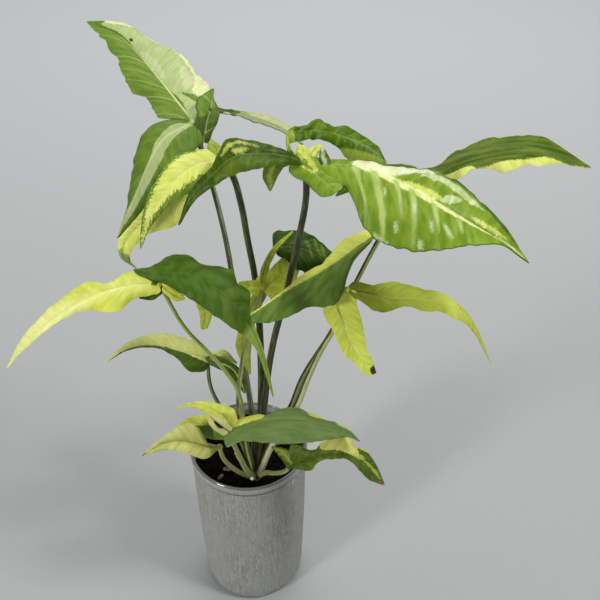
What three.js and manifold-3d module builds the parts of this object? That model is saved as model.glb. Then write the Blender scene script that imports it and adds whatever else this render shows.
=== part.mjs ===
// A potted arrowhead vine with narrow, variegated, deeply lobed leaves, in a small glazed pot.
// Millimetres, +Z up. The origin is the centre of the pot's flat underside.
import * as THREE from 'three';
import { mergeVertices } from 'three/addons/utils/BufferGeometryUtils.js';
import Module from 'manifold-3d';

const wasm = await Module();
wasm.setup();

// Pot
const POT_HEIGHT = 150;
const RIM_RADIUS = 45;
const BODY_TOP_RADIUS = 43.8;
const BODY_LOW_RADIUS = 40.7;
const FOOT_RADIUS = 34.5;
const WALL = 3;
const FLOOR = 6;
const RIM_BAND = 9;
const GROOVE_DEPTH = 0.8;
const POT_SIDES = 36;

// Soil
const SOIL_TOP = POT_HEIGHT - 10;
const SOIL_LUMP = 1.6;
const SOIL_RINGS = 4;

// Fit between pieces that touch
const GAP = 0.3;

// Crown: the short stem from which every petiole grows
const CROWN = { x: 6, y: -24, radius: 5.5, low: 116, top: 148 };
const CROWN_SIDES = 12;

// Blades
const BLADE_THICKNESS = 0.9;
const TIP_HALF_WIDTH = 0.6;
const KNUCKLE_RADIUS = 2.6;
const NECK_LENGTH = 7;
const PETIOLE_SIDES = 6;
const PETIOLE_BASE_SWELL = 1.5;

const LEAF_GREEN = 0x3f6b1c;
const LEAF_LIME = 0xb5bf3c;
const PETIOLE_GREEN = 0x3a3f1c;
const GLAZE_GREY = 0x8f8f8c;
const SOIL_BLACK = 0x14100c;
const BARK_BROWN = 0x8a6248;

// Each leaf has the point where its petiole meets its lobes, the petiole's way from the crown up to
// that point, and its lobes. A lobe is a midrib from its base to its tip, and on each side, seen
// along the midrib with the upper face up, how far and which way the margin lies from the midrib at
// equal steps. arch is how far each half bulges, as a share of its width. waves is how many times
// the margins rise and fall, and ripple how far in mm.
const LEAVES = {
  leaf_high_left: {
    colour: LEAF_GREEN,
    junction: [-24, 20, 408],
    petiole: { radius: 1.7, way: [[5, -14, 190], [1, 0, 222], [-6, 10, 308], [-10, 14, 339], [-16, 17, 372]] },
    lobes: [
      {
        rib: [[-24, 20, 408], [-38, 48, 410], [-52, 74, 413], [-67, 98, 418], [-84, 118, 424], [-109, 142, 424]],
        left: [[-17, -3, 1], [-17.5, 4, -3.5], [-21, 2, -2], [-18, 3, 0], [-12.5, 3, 0]],
        right: [[8, 10, 2], [19, 14, 3], [20, 11, 5], [15, 8, 6], [9, 5, 5]],
        waves: 2.5, ripple: 1.4, steps: 11,
      },
      {
        rib: [[-24, 20, 408], [-39, 6, 405], [-48, -7, 395], [-58, -17, 375], [-69, -23, 354]],
        left: [[8, -8, -9], [12, -8, -8], [9, -6, -7], [5, -3, -4]],
        right: [[-5, 2, 2], [-12, 6, 1], [-10, 7, -3.5], [-4.5, 4, -2]],
        waves: 2, ripple: 0.8, steps: 9,
      },
      {
        rib: [[-18, 14, 398], [-16, 19, 408], [-13.5, 28, 414.5], [-13, 42, 419]],
        left: [[-4, -1, 2], [-7, -2, 2], [-8, -2, 3], [-5, -1, 2]],
        right: [[5, 0, -4], [8, 2, -2], [6, 2, -1], [1, 1, 0]],
        arch: 0.3, steps: 6,
      },
      {
        rib: [[-15, 26, 415], [-10, 44, 404], [0, 56, 396], [15, 58, 391], [30, 50, 388], [42, 38, 383]],
        left: [[-1, 4, 1], [-1, 2, 1], [0, 6, -1], [2, 11, -2], [3, 6, -1]],
        right: [[1, -4, -2], [0, -2, -1], [-1, -7, 2], [-2, -9, 2], [-2, -5, 1]],
        steps: 9,
      },
    ],
  },
  leaf_yellow_left: {
    colour: LEAF_LIME,
    junction: [-6, -5, 397],
    petiole: { radius: 2.0, way: [[11, -17, 190], [12, 0, 262], [10, 8, 298], [6, 8, 332], [3, 3, 364], [-1, -2, 386]] },
    lobes: [
      {
        rib: [[-6, -5, 397], [-20, -16, 399], [-30, -26, 395], [-38, -34, 387], [-45, -40, 377], [-51, -44, 361]],
        left: [[3, -4, -2], [5, -10, -6], [4, -9, -7], [3, -5, -5], [2, -2, -3]],
        right: [[-4, 4, 3], [-11, 5, 4], [-10, 5, 2], [-7, 4, 0], [-4, 2, 0]],
        waves: 2, ripple: 0.8, steps: 9,
      },
      {
        rib: [[-6, -3, 396], [-27, 2, 374], [-43, 0, 360], [-58, -3, 351], [-68, -8, 341], [-69, -12, 332], [-62, -16, 327]],
        left: [[2, -1, -2], [3, -4, -7], [7, -5, -8], [4, -4, -5], [3, -2, -3], [2, 0, -1]],
        right: [[-4, 2, 4], [-6, 4, 6], [-7, 4, 5], [-5, 3, 4], [-3, 2, 2], [-2, 0, 1]],
        steps: 10,
      },
      {
        rib: [[-6, -5, 397], [-10, 0, 402], [-12, 4, 405]],
        left: [[-3, -1, 0], [-4, -1, 0]],
        right: [[3, 2, -1], [4, 2, -2]],
        arch: 0.3, steps: 4,
      },
    ],
  },
  leaf_high_centre: {
    colour: LEAF_GREEN,
    junction: [42, -22, 404],
    petiole: { radius: 2.3, way: [[12, -21, 190], [20, -14, 255], [31, -12, 307], [39, -12, 349], [43, -16, 380]] },
    lobes: [
      {
        rib: [[42, -22, 404], [62, -27, 405], [86, -34, 402], [111, -42, 393], [138, -52, 380], [165, -62, 364]],
        left: [[2, 8, -2], [2, 20, -9.5], [3, 27, -8.5], [3.5, 28, 1], [2, 20, 6]],
        right: [[-1, -5, -3], [1, -6, -4], [0.5, -14, -11.5], [-7.5, -20, -24], [-7.5, -23, -24], [-4, -22, -16], [-2, -17, -4.5], [-0.5, -8, 3]],
        waves: 3, ripple: 1.5, steps: 12,
      },
      {
        rib: [[38, -20, 405], [33, -14, 408], [33, -4, 413], [41, 5, 410], [54, 12, 406], [69, 14, 400], [82, 12, 394], [91, 8, 387]],
        left: [[-2, 1, 1], [-2, 1, 0], [-2, 3, 2], [1, 5, 3], [2, 6, 2], [3, 5, 0], [3, 4, 0]],
        right: [[2, -1, -1], [2, -1, -1], [1, -3, -3], [0, -4, -4], [-3, -5, -3], [-4, -4, -7], [-3, -3, -5]],
        waves: 3, ripple: 1.2, steps: 12,
      },
      {
        rib: [[40, -20, 405], [49, -31, 401], [59, -42, 397]],
        left: [[4, 3, 2], [8, 4, 2], [7, 2, 0]],
        right: [[-6, 0, -2], [-6, -3, -4], [-4, -4, -5]],
        tip: 3, steps: 5,
      },
      {
        rib: [[40, -22, 405], [31, -25, 410], [19, -28, 413], [4, -32, 413], [-9, -37, 404], [-20, -41, 393], [-28, -44, 377]],
        left: [[1, -3, -2], [1, -4, -3], [0, -7, -5], [1, -8, -6], [3, -4, -3], [2, -2, -1]],
        right: [[-1, 2, 1], [0, 3, 2], [0, 6, 3], [-4, 15, 3], [0, 5, 3], [-1, 3, 2]],
        steps: 11,
      },
      {
        rib: [[41, -21, 403], [29, -17, 403], [23, -15, 393], [22, -14, 381]],
        left: [[0, -1, -3], [4, -1, -3], [5, 0, 1]],
        right: [[0, 2, 2], [-4, 2, 3], [-5, 1, 0]],
        steps: 5,
      },
      {
        rib: [[42, -21, 404], [41, -16, 407], [40, -11, 409]],
        left: [[-5, 0, 0], [-4, 0, 0]],
        right: [[6, 0, 0], [5, 0, 0]],
        tip: 2, waves: 2, ripple: 1, steps: 4,
      },
      {
        rib: [[44, -21, 405], [48, -16, 409], [52, -12, 410]],
        left: [[-3, 0, 1], [-2, 1, 1]],
        right: [[3, 0, -1], [2, -1, -1]],
        steps: 4,
      },
      {
        rib: [[54, -27, 403], [53, -23, 407], [52, -18, 410]],
        left: [[-3, 1, 0], [-3, 2, 0]],
        right: [[3, 1, -1], [3, 1, -1]],
        arch: 0.35, tip: 1.5, steps: 4,
      },
    ],
  },
  leaf_high_right: {
    colour: LEAF_GREEN,
    junction: [115, 35, 366],
    petiole: { radius: 1.6, way: [[20, -19, 182], [32, -14, 202], [41, -8, 226], [62, 2, 263], [78, 14, 296], [91, 22, 322]] },
    lobes: [
      {
        rib: [[115, 35, 366], [129, 38, 367], [148, 42, 370], [168, 45, 373], [194, 47, 373], [228, 44, 364]],
        left: [[-1, 2, 0], [0, 4, 1], [0, 14, 3], [1.5, 17, 3.5], [3.5, 15, 3.5]],
        right: [[0, -5, -2], [0, -8, -3], [-1.5, -13, 0], [0, -16, -3], [0, -10, -3]],
        waves: 3.5, ripple: 1.6, steps: 12,
      },
      {
        rib: [[115, 35, 366], [103, 38, 367], [92, 37, 368], [76, 30, 364], [62, 22, 356]],
        left: [[1, -5, -1], [2, -9, -2], [3, -10, -3], [3, -6, -3]],
        right: [[-1, 5, 1], [-0.5, 9, -2.5], [-2, 9, -4.5], [-3, 6, -1]],
        waves: 2, ripple: 0.8, steps: 7,
      },
      {
        rib: [[115, 35, 366], [121, 25, 360], [128, 14, 350], [135, 5, 337]],
        left: [[5, 3, 0], [9, 4, 0], [6, 3, 0]],
        right: [[-5, -3, 0], [-8, -4, 0], [-6, -3, 0]],
        steps: 6,
      },
    ],
  },
  leaf_lime_left: {
    colour: LEAF_LIME,
    junction: [-42, -48, 339],
    petiole: { radius: 1.6, way: [[1, -31, 185], [-2, -34, 238], [-8, -36, 256], [-18, -40, 278], [-31, -45, 304]] },
    lobes: [
      {
        rib: [[-42, -48, 339], [-58, -54, 342], [-75, -60, 341], [-97, -68, 332], [-118, -75, 316], [-131, -78, 300]],
        left: [[3, -4, -4], [2, -9, -5], [1, -11, -4], [1, -3, -2], [2.5, -2, 1]],
        right: [[0, 6, 2], [0, 8, 3], [0.5, 6, 3.5], [0, 8, 5], [0, 5, 3]],
        waves: 3, ripple: 1.4, steps: 12,
      },
      {
        rib: [[-57, -43, 346], [-40, -47, 347], [-23, -52, 349], [-9, -57, 344], [4, -63, 333], [15, -68, 310], [23, -70, 269]],
        left: [[0.5, 2, -3.5], [-1, 12, 0.5], [0, 14, 2], [3, 13, 4], [4, 11, 2.5], [3, 4, 1]],
        right: [[0, -2, -2], [1, -5, -5], [-2, -11, -9], [-5, -9, -8], [-5, -9, -5], [-3, -4, -1]],
        waves: 3.5, ripple: 1.6, steps: 12,
      },
      {
        rib: [[-40, -46, 339], [-30, -43, 333], [-21, -41, 324], [-18, -40, 311], [-20, -40, 298]],
        left: [[2, 0, 2], [4, 0, 3], [4, 0, 1], [4, 0, 0]],
        right: [[-2, 0, -2], [-4, 0, -2], [-4, 0, -1], [-4, 0, 0]],
        tip: 2, steps: 6,
      },
      {
        rib: [[-41, -48, 340], [-47, -51, 336], [-54, -54, 335]],
        left: [[1, -3, -5], [1, -3, -4]],
        right: [[-2, 2, 3], [-3, 1, 3]],
        arch: 0.25, tip: 1.5, steps: 4,
      },
      {
        rib: [[-40, -50, 339], [-33, -54, 336], [-27, -56, 335]],
        left: [[0, 2, 3], [0, 1, 3]],
        right: [[0, -2, -3], [0, -2, -3]],
        arch: 0.25, tip: 1.2, steps: 4,
      },
    ],
  },
  leaf_mid_right: {
    colour: LEAF_LIME,
    junction: [69, -18, 312],
    petiole: { radius: 1.8, way: [[22, -24, 184], [36, -20, 208], [45, -16, 234], [53, -13, 255], [62, -12, 276], [66, -14, 295]] },
    lobes: [
      {
        rib: [[69, -18, 312], [65, -22, 300], [69, -26, 284], [77, -29, 267], [87, -31, 251]],
        left: [[5, 1, 0], [10, 1, 0], [11, 1, 2], [7, 0, 2]],
        right: [[-5, 1, 0], [-12, -1, 0], [-10, -2, -1], [-7, -1, -3]],
        tip: 3, waves: 1.5, ripple: 0.8, steps: 9,
      },
      {
        rib: [[69, -18, 312], [91, -14, 302], [111, -13, 301], [132, -17, 300], [149, -22, 290], [165, -29, 259]],
        left: [[1, 4, 2], [0, 10, 4], [0, 9, 3], [1.5, 7, 1.5], [2, 3, -3]],
        right: [[0, -5, -3], [0, -9, -4], [0, -6, -3], [-1, -7, -4], [-4, -3, -4]],
        waves: 3, ripple: 1.2, steps: 12,
      },
      {
        rib: [[85, 0, 339], [68, -8, 331], [49, -18, 323], [27, -28, 314], [3, -36, 301]],
        left: [[2, -3, -3], [2, -11, -16], [8, -12, -14], [3, -8, -9]],
        right: [[-1, 4, 1], [-3, 8, 2], [-3, 7, 1], [-2, 5, 0]],
        waves: 2, ripple: 0.8, steps: 10,
      },
    ],
  },
  leaf_mid_centre: {
    colour: LEAF_LIME,
    junction: [15, -2, 301],
    petiole: { radius: 1.4, way: [[0, -26, 185], [-3, -27, 216], [0, -26, 250], [4, -22, 270], [9, -13, 286]] },
    lobes: [
      {
        rib: [[15, -2, 301], [16, 2, 311], [23, 6, 326], [35, 9, 338]],
        left: [[-2, 1, 1], [-3, 2, 1], [-2, 2, 0]],
        right: [[3, -1, -1], [3, -1, -2], [2, -1, -1]],
        arch: 0.4, steps: 6,
      },
      {
        rib: [[15, -2, 301], [8, -4, 304], [0, -6, 308]],
        left: [[-1, -2, -4], [-1, -2, -3]],
        right: [[0, 2, 3], [0, 2, 2]],
        steps: 4,
      },
      {
        rib: [[15, -2, 300], [25, 3, 305], [38, 13, 319]],
        left: [[-3, 2, 3], [-3.5, 4, 1]],
        right: [[3, -3, -3], [5, -4, -6]],
        tip: 4, steps: 5,
      },
      {
        rib: [[22, 11, 324], [33, 15, 322], [45, 16, 318], [56, 12, 312], [70, 5, 304]],
        left: [[-2, 8, 4], [0, 11, 4], [3, 9, 3], [4, 6, 2]],
        right: [[0, -3, -4], [-2, -7, -6], [-3, -9, -8], [-4, -6, -6]],
        waves: 2.5, ripple: 1.1, steps: 9,
      },
      {
        rib: [[15, -2, 300], [7, -3, 283], [3, -6, 268], [1, -9, 253], [5, -13, 234]],
        left: [[4, -1, -2], [5, -1, 0], [5, -1, 0], [5, -1, 1]],
        right: [[-4, 0, 1], [-5, 1, 0], [-5, 1, 0], [-5, 1, -1]],
        waves: 2, ripple: 0.7, steps: 8,
      },
    ],
  },
  leaf_low_back_left: {
    colour: LEAF_GREEN,
    junction: [-24, -10, 246],
    petiole: { radius: 1.3, way: [[-5, -20, 178], [-18, -16, 208], [-23, -13, 222]] },
    lobes: [
      {
        rib: [[-24, -10, 246], [-40, -16, 258], [-58, -22, 268], [-74, -28, 271], [-87, -31, 263]],
        left: [[1, -6, -6], [-0.5, -8, -9], [0.5, -4, -2.5], [1, -2, -0.5], [0, -1, -1.5], [0, -0.5, -2]],
        right: [[-0.5, 6, 5.5], [0, 10, 1.5], [0.5, 10, 2.5], [0, 5, 2]],
        waves: 2, ripple: 1, steps: 9,
      },
      {
        rib: [[-24, -10, 246], [-14, -8, 249], [-4, -8, 240]],
        left: [[0, 3, 1], [1, 3, 1]],
        right: [[0, -2, -2], [-1, -3, -2]],
        steps: 5,
      },
      {
        rib: [[-23, -11, 247], [-14, -15, 246], [-7, -16, 242], [-2, -17, 232], [1, -18, 221]],
        left: [[1, 2, 3], [1, 2, 3], [4, 1, 1]],
        right: [[-1, -2, -3], [-2, -2, -3], [-4, -1, -1]],
        steps: 6,
      },
    ],
  },
  leaf_low_cream: {
    colour: LEAF_LIME,
    junction: [-16, -45, 196],
    petiole: { radius: 1.5, way: [[-4, -31, 152], [-11, -36, 166], [-15, -41, 181]] },
    lobes: [
      {
        rib: [[-16, -45, 196], [-26, -52, 205], [-38, -55, 213], [-51, -58, 214], [-66, -60, 204]],
        left: [[-0.5, -3, -1], [1.5, -9, -3.5], [2, -8, -3.5], [0, -4, -4]],
        right: [[-3, 1, 1.5], [0.5, 2.5, 9.5], [0, 4, 11], [0, 2, 7]],
        arch: 0.2, waves: 1.5, ripple: 0.8, steps: 9,
      },
    ],
  },
  leaf_low_front: {
    colour: LEAF_GREEN,
    junction: [-8, -52, 219],
    petiole: { radius: 1.7, way: [[1, -34, 158], [-3, -40, 180], [-6, -46, 200]] },
    lobes: [
      {
        rib: [[-6, -51, 221], [-12, -46, 228], [-24, -42, 233], [-34, -40, 232], [-44, -39, 228]],
        left: [[-3, -4, -2], [-1, -5, -2], [-1, -3, -3], [0, -1, -1]],
        right: [[4, 4, 2], [6, 5, 2], [1, 3, 1], [0, 1, 1]],
        steps: 8,
      },
      {
        rib: [[-10, -52, 219], [6, -50, 225], [26, -50, 229], [46, -52, 229], [66, -56, 225], [79, -60, 218]],
        left: [[1.5, 8, -1.5], [1.5, 12, -4], [2, 12, -3], [2, 10, -5], [2, 6, -4]],
        right: [[-2, -10, -4], [0, -15, -3], [0, -17, -7], [0, -14, -6], [0, -6, -2]],
        waves: 2, ripple: 1.2, steps: 12,
      },
      {
        rib: [[-8, -51, 218], [-25, -39, 211.5], [-38, -36, 211], [-48, -36, 203]],
        left: [[1, -6, -2], [2, -4.5, -9], [0.5, -4, -6.5]],
        right: [[0, 5, 3], [0, 6, 3], [-0.5, 4, -0.5]],
        steps: 7,
      },
      {
        rib: [[-8, -53, 221], [-14, -53, 228], [-20, -51, 233]],
        left: [[-3, -3, -2], [-4, -3, -2]],
        right: [[3, 0, 2], [4, 0, 2]],
        arch: 0.4, tip: 2.5, steps: 4,
      },
    ],
  },
  leaf_low_right: {
    colour: LEAF_GREEN,
    junction: [33, -50, 182],
    petiole: { radius: 1.6, way: [[14, -31, 152], [21, -38, 160], [28, -45, 170]] },
    lobes: [
      {
        rib: [[33, -50, 183], [46, -53, 193], [60, -56, 200], [73, -59, 203], [85, -62, 195], [97, -64, 179]],
        left: [[-2, 8, 10], [0, 4, 5], [0, 7, 7], [1.5, 8, 5.5], [3, 6, 2]],
        right: [[2.5, -5, 0.5], [-0.5, -9, -2], [-2, -5, 1], [-3.5, -5, 1], [-4, -4, -2.5]],
        waves: 2, ripple: 1.2, steps: 11,
      },
      {
        rib: [[34, -51, 183], [28, -47, 190], [20, -44, 195]],
        left: [[-2, -2, -3], [-2, -1, -2]],
        right: [[4, 3, 3], [3, 3, 2]],
        steps: 5,
      },
    ],
  },
};

// Bark chips lying on the soil: place, size and turn about the vertical
const BARK_CHIPS = [
  { x: -14, y: -18, size: [9, 4, 2.2], turn: 0.2 },
  { x: -20, y: -26, size: [6, 3, 2], turn: 1.1 },
  { x: 20, y: 8, size: [7, 4, 2], turn: -0.5 },
  { x: -8, y: 14, size: [8, 3.5, 2.2], turn: 2.2 },
];

// The point at t, from 0 to 1, on the smooth curve through a list of points
function smooth(points, t) {
  const spans = points.length - 1;
  const span = Math.min(Math.floor(t * spans), spans - 1);
  const u = t * spans - span;
  const p1 = points[span];
  const p2 = points[span + 1];
  const p0 = points[span - 1] ?? p1.map((value, axis) => 2 * value - p2[axis]);
  const p3 = points[span + 2] ?? p2.map((value, axis) => 2 * value - p1[axis]);
  const value = [0, 1, 2].map((axis) => {
    const slope1 = (p2[axis] - p0[axis]) / 2;
    const slope2 = (p3[axis] - p1[axis]) / 2;
    const rise = p2[axis] - p1[axis];
    const cubic = slope1 + slope2 - 2 * rise;
    const square = 3 * rise - 2 * slope1 - slope2;
    return p1[axis] + u * (slope1 + u * (square + u * cubic));
  });
  return new THREE.Vector3(...value);
}

// A closed geometry from its points and its triangles
function closedGeometry(points, triangles) {
  const geometry = new THREE.BufferGeometry();
  geometry.setAttribute('position', new THREE.Float32BufferAttribute(points.flatMap((p) => [p.x, p.y, p.z]), 3));
  geometry.setIndex(triangles);
  return geometry;
}

function toSolid(geometry) {
  const bare = geometry.clone();
  bare.deleteAttribute('normal');
  bare.deleteAttribute('uv');
  const merged = mergeVertices(bare);
  return new wasm.Manifold(new wasm.Mesh({
    numProp: 3,
    vertProperties: new Float32Array(merged.attributes.position.array),
    triVerts: new Uint32Array(merged.index.array),
  }));
}

function toGeometry(solid) {
  const mesh = solid.getMesh();
  const geometry = new THREE.BufferGeometry();
  geometry.setAttribute('position', new THREE.BufferAttribute(new Float32Array(mesh.vertProperties), 3));
  geometry.setIndex(new THREE.BufferAttribute(new Uint32Array(mesh.triVerts), 1));
  return geometry;
}

function namedMesh(name, geometry, colour, roughness) {
  geometry.computeVertexNormals();
  const mesh = new THREE.Mesh(geometry, new THREE.MeshStandardMaterial({ color: colour, roughness, metalness: 0 }));
  mesh.name = name;
  return mesh;
}

// The middle surface of a lobe: rows of points from its base to its tip, each from the right margin
// over the midrib to the left margin
function lobeSurface({ rib, left, right, arch = 0.12, waves = 0, ripple = 0, tip = TIP_HALF_WIDTH, steps, across = 2 }) {
  const withTip = (side) => {
    const last = new THREE.Vector3(...side.at(-1)).setLength(tip);
    return [...side, last.toArray()];
  };
  const sides = [withTip(right), withTip(left)];
  const rows = [];
  for (let step = 0; step <= steps; step += 1) {
    const t = step / steps;
    const centre = smooth(rib, t);
    const heading = smooth(rib, Math.min(t + 0.01, 1)).sub(smooth(rib, Math.max(t - 0.01, 0))).normalize();
    const row = [];
    for (let column = -across; column <= across; column += 1) {
      const share = Math.abs(column) / across;
      const side = column < 0 ? 0 : 1;
      const reach = smooth(sides[side], t);
      const up = heading.clone().cross(reach).normalize().multiplyScalar(side === 0 ? -1 : 1);
      const bulge = arch * reach.length() * 4 * share * (1 - share);
      const phase = side * Math.PI / 2;
      const fade = Math.sin(Math.PI * Math.min(t * 1.1, 1));
      const wave = ripple * fade * share * share * Math.sin(2 * Math.PI * waves * t + phase);
      row.push(centre.clone().addScaledVector(reach, share).addScaledVector(up, bulge + wave));
    }
    rows.push(row);
  }
  return rows;
}

// A surface of rows of points thickened to both sides, with the same triangles on both faces
function thickened(rows, thickness) {
  const length = rows.length;
  const width = rows[0].length;
  const faces = [[], []];
  for (let i = 0; i < length; i += 1) {
    for (let j = 0; j < width; j += 1) {
      const along = rows[Math.min(i + 1, length - 1)][j].clone().sub(rows[Math.max(i - 1, 0)][j]);
      const over = rows[i][Math.min(j + 1, width - 1)].clone().sub(rows[i][Math.max(j - 1, 0)]);
      const normal = along.cross(over).setLength(thickness / 2);
      faces[0].push(rows[i][j].clone().add(normal));
      faces[1].push(rows[i][j].clone().sub(normal));
    }
  }
  const at = (face, i, j) => face * length * width + i * width + j;
  const triangles = [];
  const quad = (a, b, c, d) => triangles.push(a, b, c, a, c, d);
  for (let i = 0; i < length - 1; i += 1) {
    for (let j = 0; j < width - 1; j += 1) {
      quad(at(0, i, j), at(0, i + 1, j), at(0, i + 1, j + 1), at(0, i, j + 1));
      triangles.push(at(1, i, j), at(1, i + 1, j + 1), at(1, i + 1, j));
      triangles.push(at(1, i, j), at(1, i, j + 1), at(1, i + 1, j + 1));
    }
  }
  for (let i = 0; i < length - 1; i += 1) {
    quad(at(0, i, 0), at(1, i, 0), at(1, i + 1, 0), at(0, i + 1, 0));
    quad(at(0, i + 1, width - 1), at(1, i + 1, width - 1), at(1, i, width - 1), at(0, i, width - 1));
  }
  for (let j = 0; j < width - 1; j += 1) {
    quad(at(0, 0, j + 1), at(1, 0, j + 1), at(1, 0, j), at(0, 0, j));
    quad(at(0, length - 1, j), at(1, length - 1, j), at(1, length - 1, j + 1), at(0, length - 1, j + 1));
  }
  return closedGeometry([...faces[0], ...faces[1]], triangles);
}

// A tapering round stalk along a curve, closed at both ends
function stalk(points, radiusAt, sides) {
  const curve = new THREE.CatmullRomCurve3(points.map((p) => new THREE.Vector3(...p)), false, 'centripetal');
  const steps = 2 * (points.length - 1);
  const frames = curve.computeFrenetFrames(steps, false);
  const ring = [];
  for (let step = 0; step <= steps; step += 1) {
    const centre = curve.getPointAt(step / steps);
    const radius = radiusAt(step / steps);
    for (let side = 0; side < sides; side += 1) {
      const angle = 2 * Math.PI * side / sides;
      ring.push(centre.clone()
        .addScaledVector(frames.normals[step], radius * Math.cos(angle))
        .addScaledVector(frames.binormals[step], radius * Math.sin(angle)));
    }
  }
  const triangles = [];
  for (let step = 0; step < steps; step += 1) {
    for (let side = 0; side < sides; side += 1) {
      const next = (side + 1) % sides;
      const a = step * sides + side;
      const b = step * sides + next;
      const c = (step + 1) * sides + next;
      const d = (step + 1) * sides + side;
      triangles.push(a, b, c, a, c, d);
    }
  }
  for (let side = 1; side < sides - 1; side += 1) {
    const end = steps * sides;
    triangles.push(0, side + 1, side);
    triangles.push(end, end + side, end + side + 1);
  }
  return closedGeometry(ring, triangles);
}

// Lobes that meet can shut in a speck of air: only the outer skin is kept
function outerSkin(solid) {
  return solid.decompose().sort((a, b) => b.volume() - a.volume())[0];
}

// Down the petiole from the knuckle: the unit direction towards its last waypoint
function petioleHeading(leaf) {
  const junction = new THREE.Vector3(...leaf.junction);
  return new THREE.Vector3(...leaf.petiole.way.at(-1)).sub(junction).normalize();
}

// One leaf blade: its lobes grown together at the knuckle, with the short neck below it
function blade(leaf) {
  const knuckle = new THREE.SphereGeometry(KNUCKLE_RADIUS, 8, 6).translate(...leaf.junction);
  const junction = new THREE.Vector3(...leaf.junction);
  const neckEnd = junction.clone().addScaledVector(petioleHeading(leaf), NECK_LENGTH);
  const neck = stalk([junction.toArray(), neckEnd.toArray()], () => leaf.petiole.radius, PETIOLE_SIDES);
  let solid = toSolid(knuckle).add(toSolid(neck));
  for (const lobe of leaf.lobes) {
    solid = solid.add(toSolid(thickened(lobeSurface(lobe), BLADE_THICKNESS)));
  }
  return toGeometry(outerSkin(solid));
}

// The petiole's way from inside the crown to just short of the blade's neck
function petioleWay(leaf) {
  const root = [CROWN.x, CROWN.y, CROWN.top - 10];
  const end = new THREE.Vector3(...leaf.junction).addScaledVector(petioleHeading(leaf), NECK_LENGTH + GAP);
  return [root, ...leaf.petiole.way, end.toArray()];
}

// The short stem with every petiole growing out of it
function stem() {
  const { x, y, radius, low, top } = CROWN;
  const profile = [
    [0, low], [radius * 0.8, low], [radius, low + 4], [radius, SOIL_TOP], [radius * 0.95, top - 6], [radius * 0.6, top], [0, top],
  ].map(([r, z]) => new THREE.Vector2(r, z));
  const crown = new THREE.LatheGeometry(profile, CROWN_SIDES).rotateX(Math.PI / 2).translate(x, y, 0);
  let solid = toSolid(crown);
  for (const leaf of Object.values(LEAVES)) {
    const { radius: slim } = leaf.petiole;
    const radiusAt = (t) => slim * (1 + (PETIOLE_BASE_SWELL - 1) * (1 - t) ** 3);
    solid = solid.add(toSolid(stalk(petioleWay(leaf), radiusAt, PETIOLE_SIDES)));
  }
  return toGeometry(outerSkin(solid));
}

// The turned pot, with its flat foot, rounded lower edge, slightly flaring body, groove and lip
function pot() {
  const wallTop = POT_HEIGHT - RIM_BAND;
  const outside = [
    [0, 0], [FOOT_RADIUS, 0], [BODY_LOW_RADIUS - 3.2, 1.6], [BODY_LOW_RADIUS - 1, 5], [BODY_LOW_RADIUS, 11],
    [41.8, 42], [43, 80], [BODY_TOP_RADIUS, wallTop - 4],
    [BODY_TOP_RADIUS - GROOVE_DEPTH, wallTop], [RIM_RADIUS - 0.5, wallTop + 2],
    [RIM_RADIUS, POT_HEIGHT - 3], [RIM_RADIUS - 0.6, POT_HEIGHT - 0.8], [RIM_RADIUS - 1.6, POT_HEIGHT],
  ];
  const inside = [
    [RIM_RADIUS - 2.6, POT_HEIGHT - 0.6], [RIM_RADIUS - WALL, POT_HEIGHT - 2], [BODY_TOP_RADIUS - WALL, wallTop - 4],
    [41.8 - WALL, 42], [BODY_LOW_RADIUS - WALL, FLOOR + 8], [BODY_LOW_RADIUS - WALL - 5, FLOOR], [0, FLOOR],
  ];
  const profile = [...outside, ...inside].map(([r, z]) => new THREE.Vector2(r, z));
  return new THREE.LatheGeometry(profile, POT_SIDES).rotateX(Math.PI / 2);
}

const soilHeight = (x, y) => {
  const lumps = Math.sin(x * 0.31 + 1.3) * Math.cos(y * 0.27) + 0.6 * Math.sin(x * 0.13 - y * 0.21 + 0.7);
  return SOIL_TOP + SOIL_LUMP * 0.5 * lumps;
};

// The soil: it fills the pot, with a lumpy top and a plain hole for the crown
function soil() {
  const rings = [];
  const wallTop = POT_HEIGHT - RIM_BAND;
  const topRadius = BODY_TOP_RADIUS - WALL - GAP - 0.3;
  const profile = [
    [BODY_LOW_RADIUS - WALL - 6, FLOOR + GAP], [BODY_LOW_RADIUS - WALL - 0.7, FLOOR + 9], [41.8 - WALL - 0.7, 42],
  ];
  for (const [radius, z] of profile) {
    rings.push({ radius, height: () => z });
  }
  rings.push({ radius: topRadius, height: () => wallTop - 5 });
  for (let ring = 0; ring < SOIL_RINGS; ring += 1) {
    rings.push({ radius: topRadius * (1 - ring / SOIL_RINGS), height: soilHeight });
  }
  const points = [new THREE.Vector3(0, 0, FLOOR + GAP)];
  for (const { radius, height } of rings) {
    for (let side = 0; side < POT_SIDES; side += 1) {
      const angle = 2 * Math.PI * side / POT_SIDES;
      const x = radius * Math.cos(angle);
      const y = radius * Math.sin(angle);
      points.push(new THREE.Vector3(x, y, height(x, y)));
    }
  }
  points.push(new THREE.Vector3(0, 0, soilHeight(0, 0)));
  const triangles = [];
  const last = points.length - 1;
  for (let side = 0; side < POT_SIDES; side += 1) {
    const next = (side + 1) % POT_SIDES;
    triangles.push(0, 1 + next, 1 + side);
    for (let ring = 0; ring < rings.length - 1; ring += 1) {
      const a = 1 + ring * POT_SIDES + side;
      const b = 1 + ring * POT_SIDES + next;
      triangles.push(a, b, b + POT_SIDES, a, b + POT_SIDES, a + POT_SIDES);
    }
    const top = 1 + (rings.length - 1) * POT_SIDES;
    triangles.push(top + side, top + next, last);
  }
  const { x, y, radius, low } = CROWN;
  const hole = new THREE.CylinderGeometry(radius + GAP, radius + GAP, POT_HEIGHT - low, CROWN_SIDES)
    .rotateX(Math.PI / 2).translate(x, y, (POT_HEIGHT + low) / 2 - GAP);
  return toGeometry(toSolid(closedGeometry(points, triangles)).subtract(toSolid(hole)));
}

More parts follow.
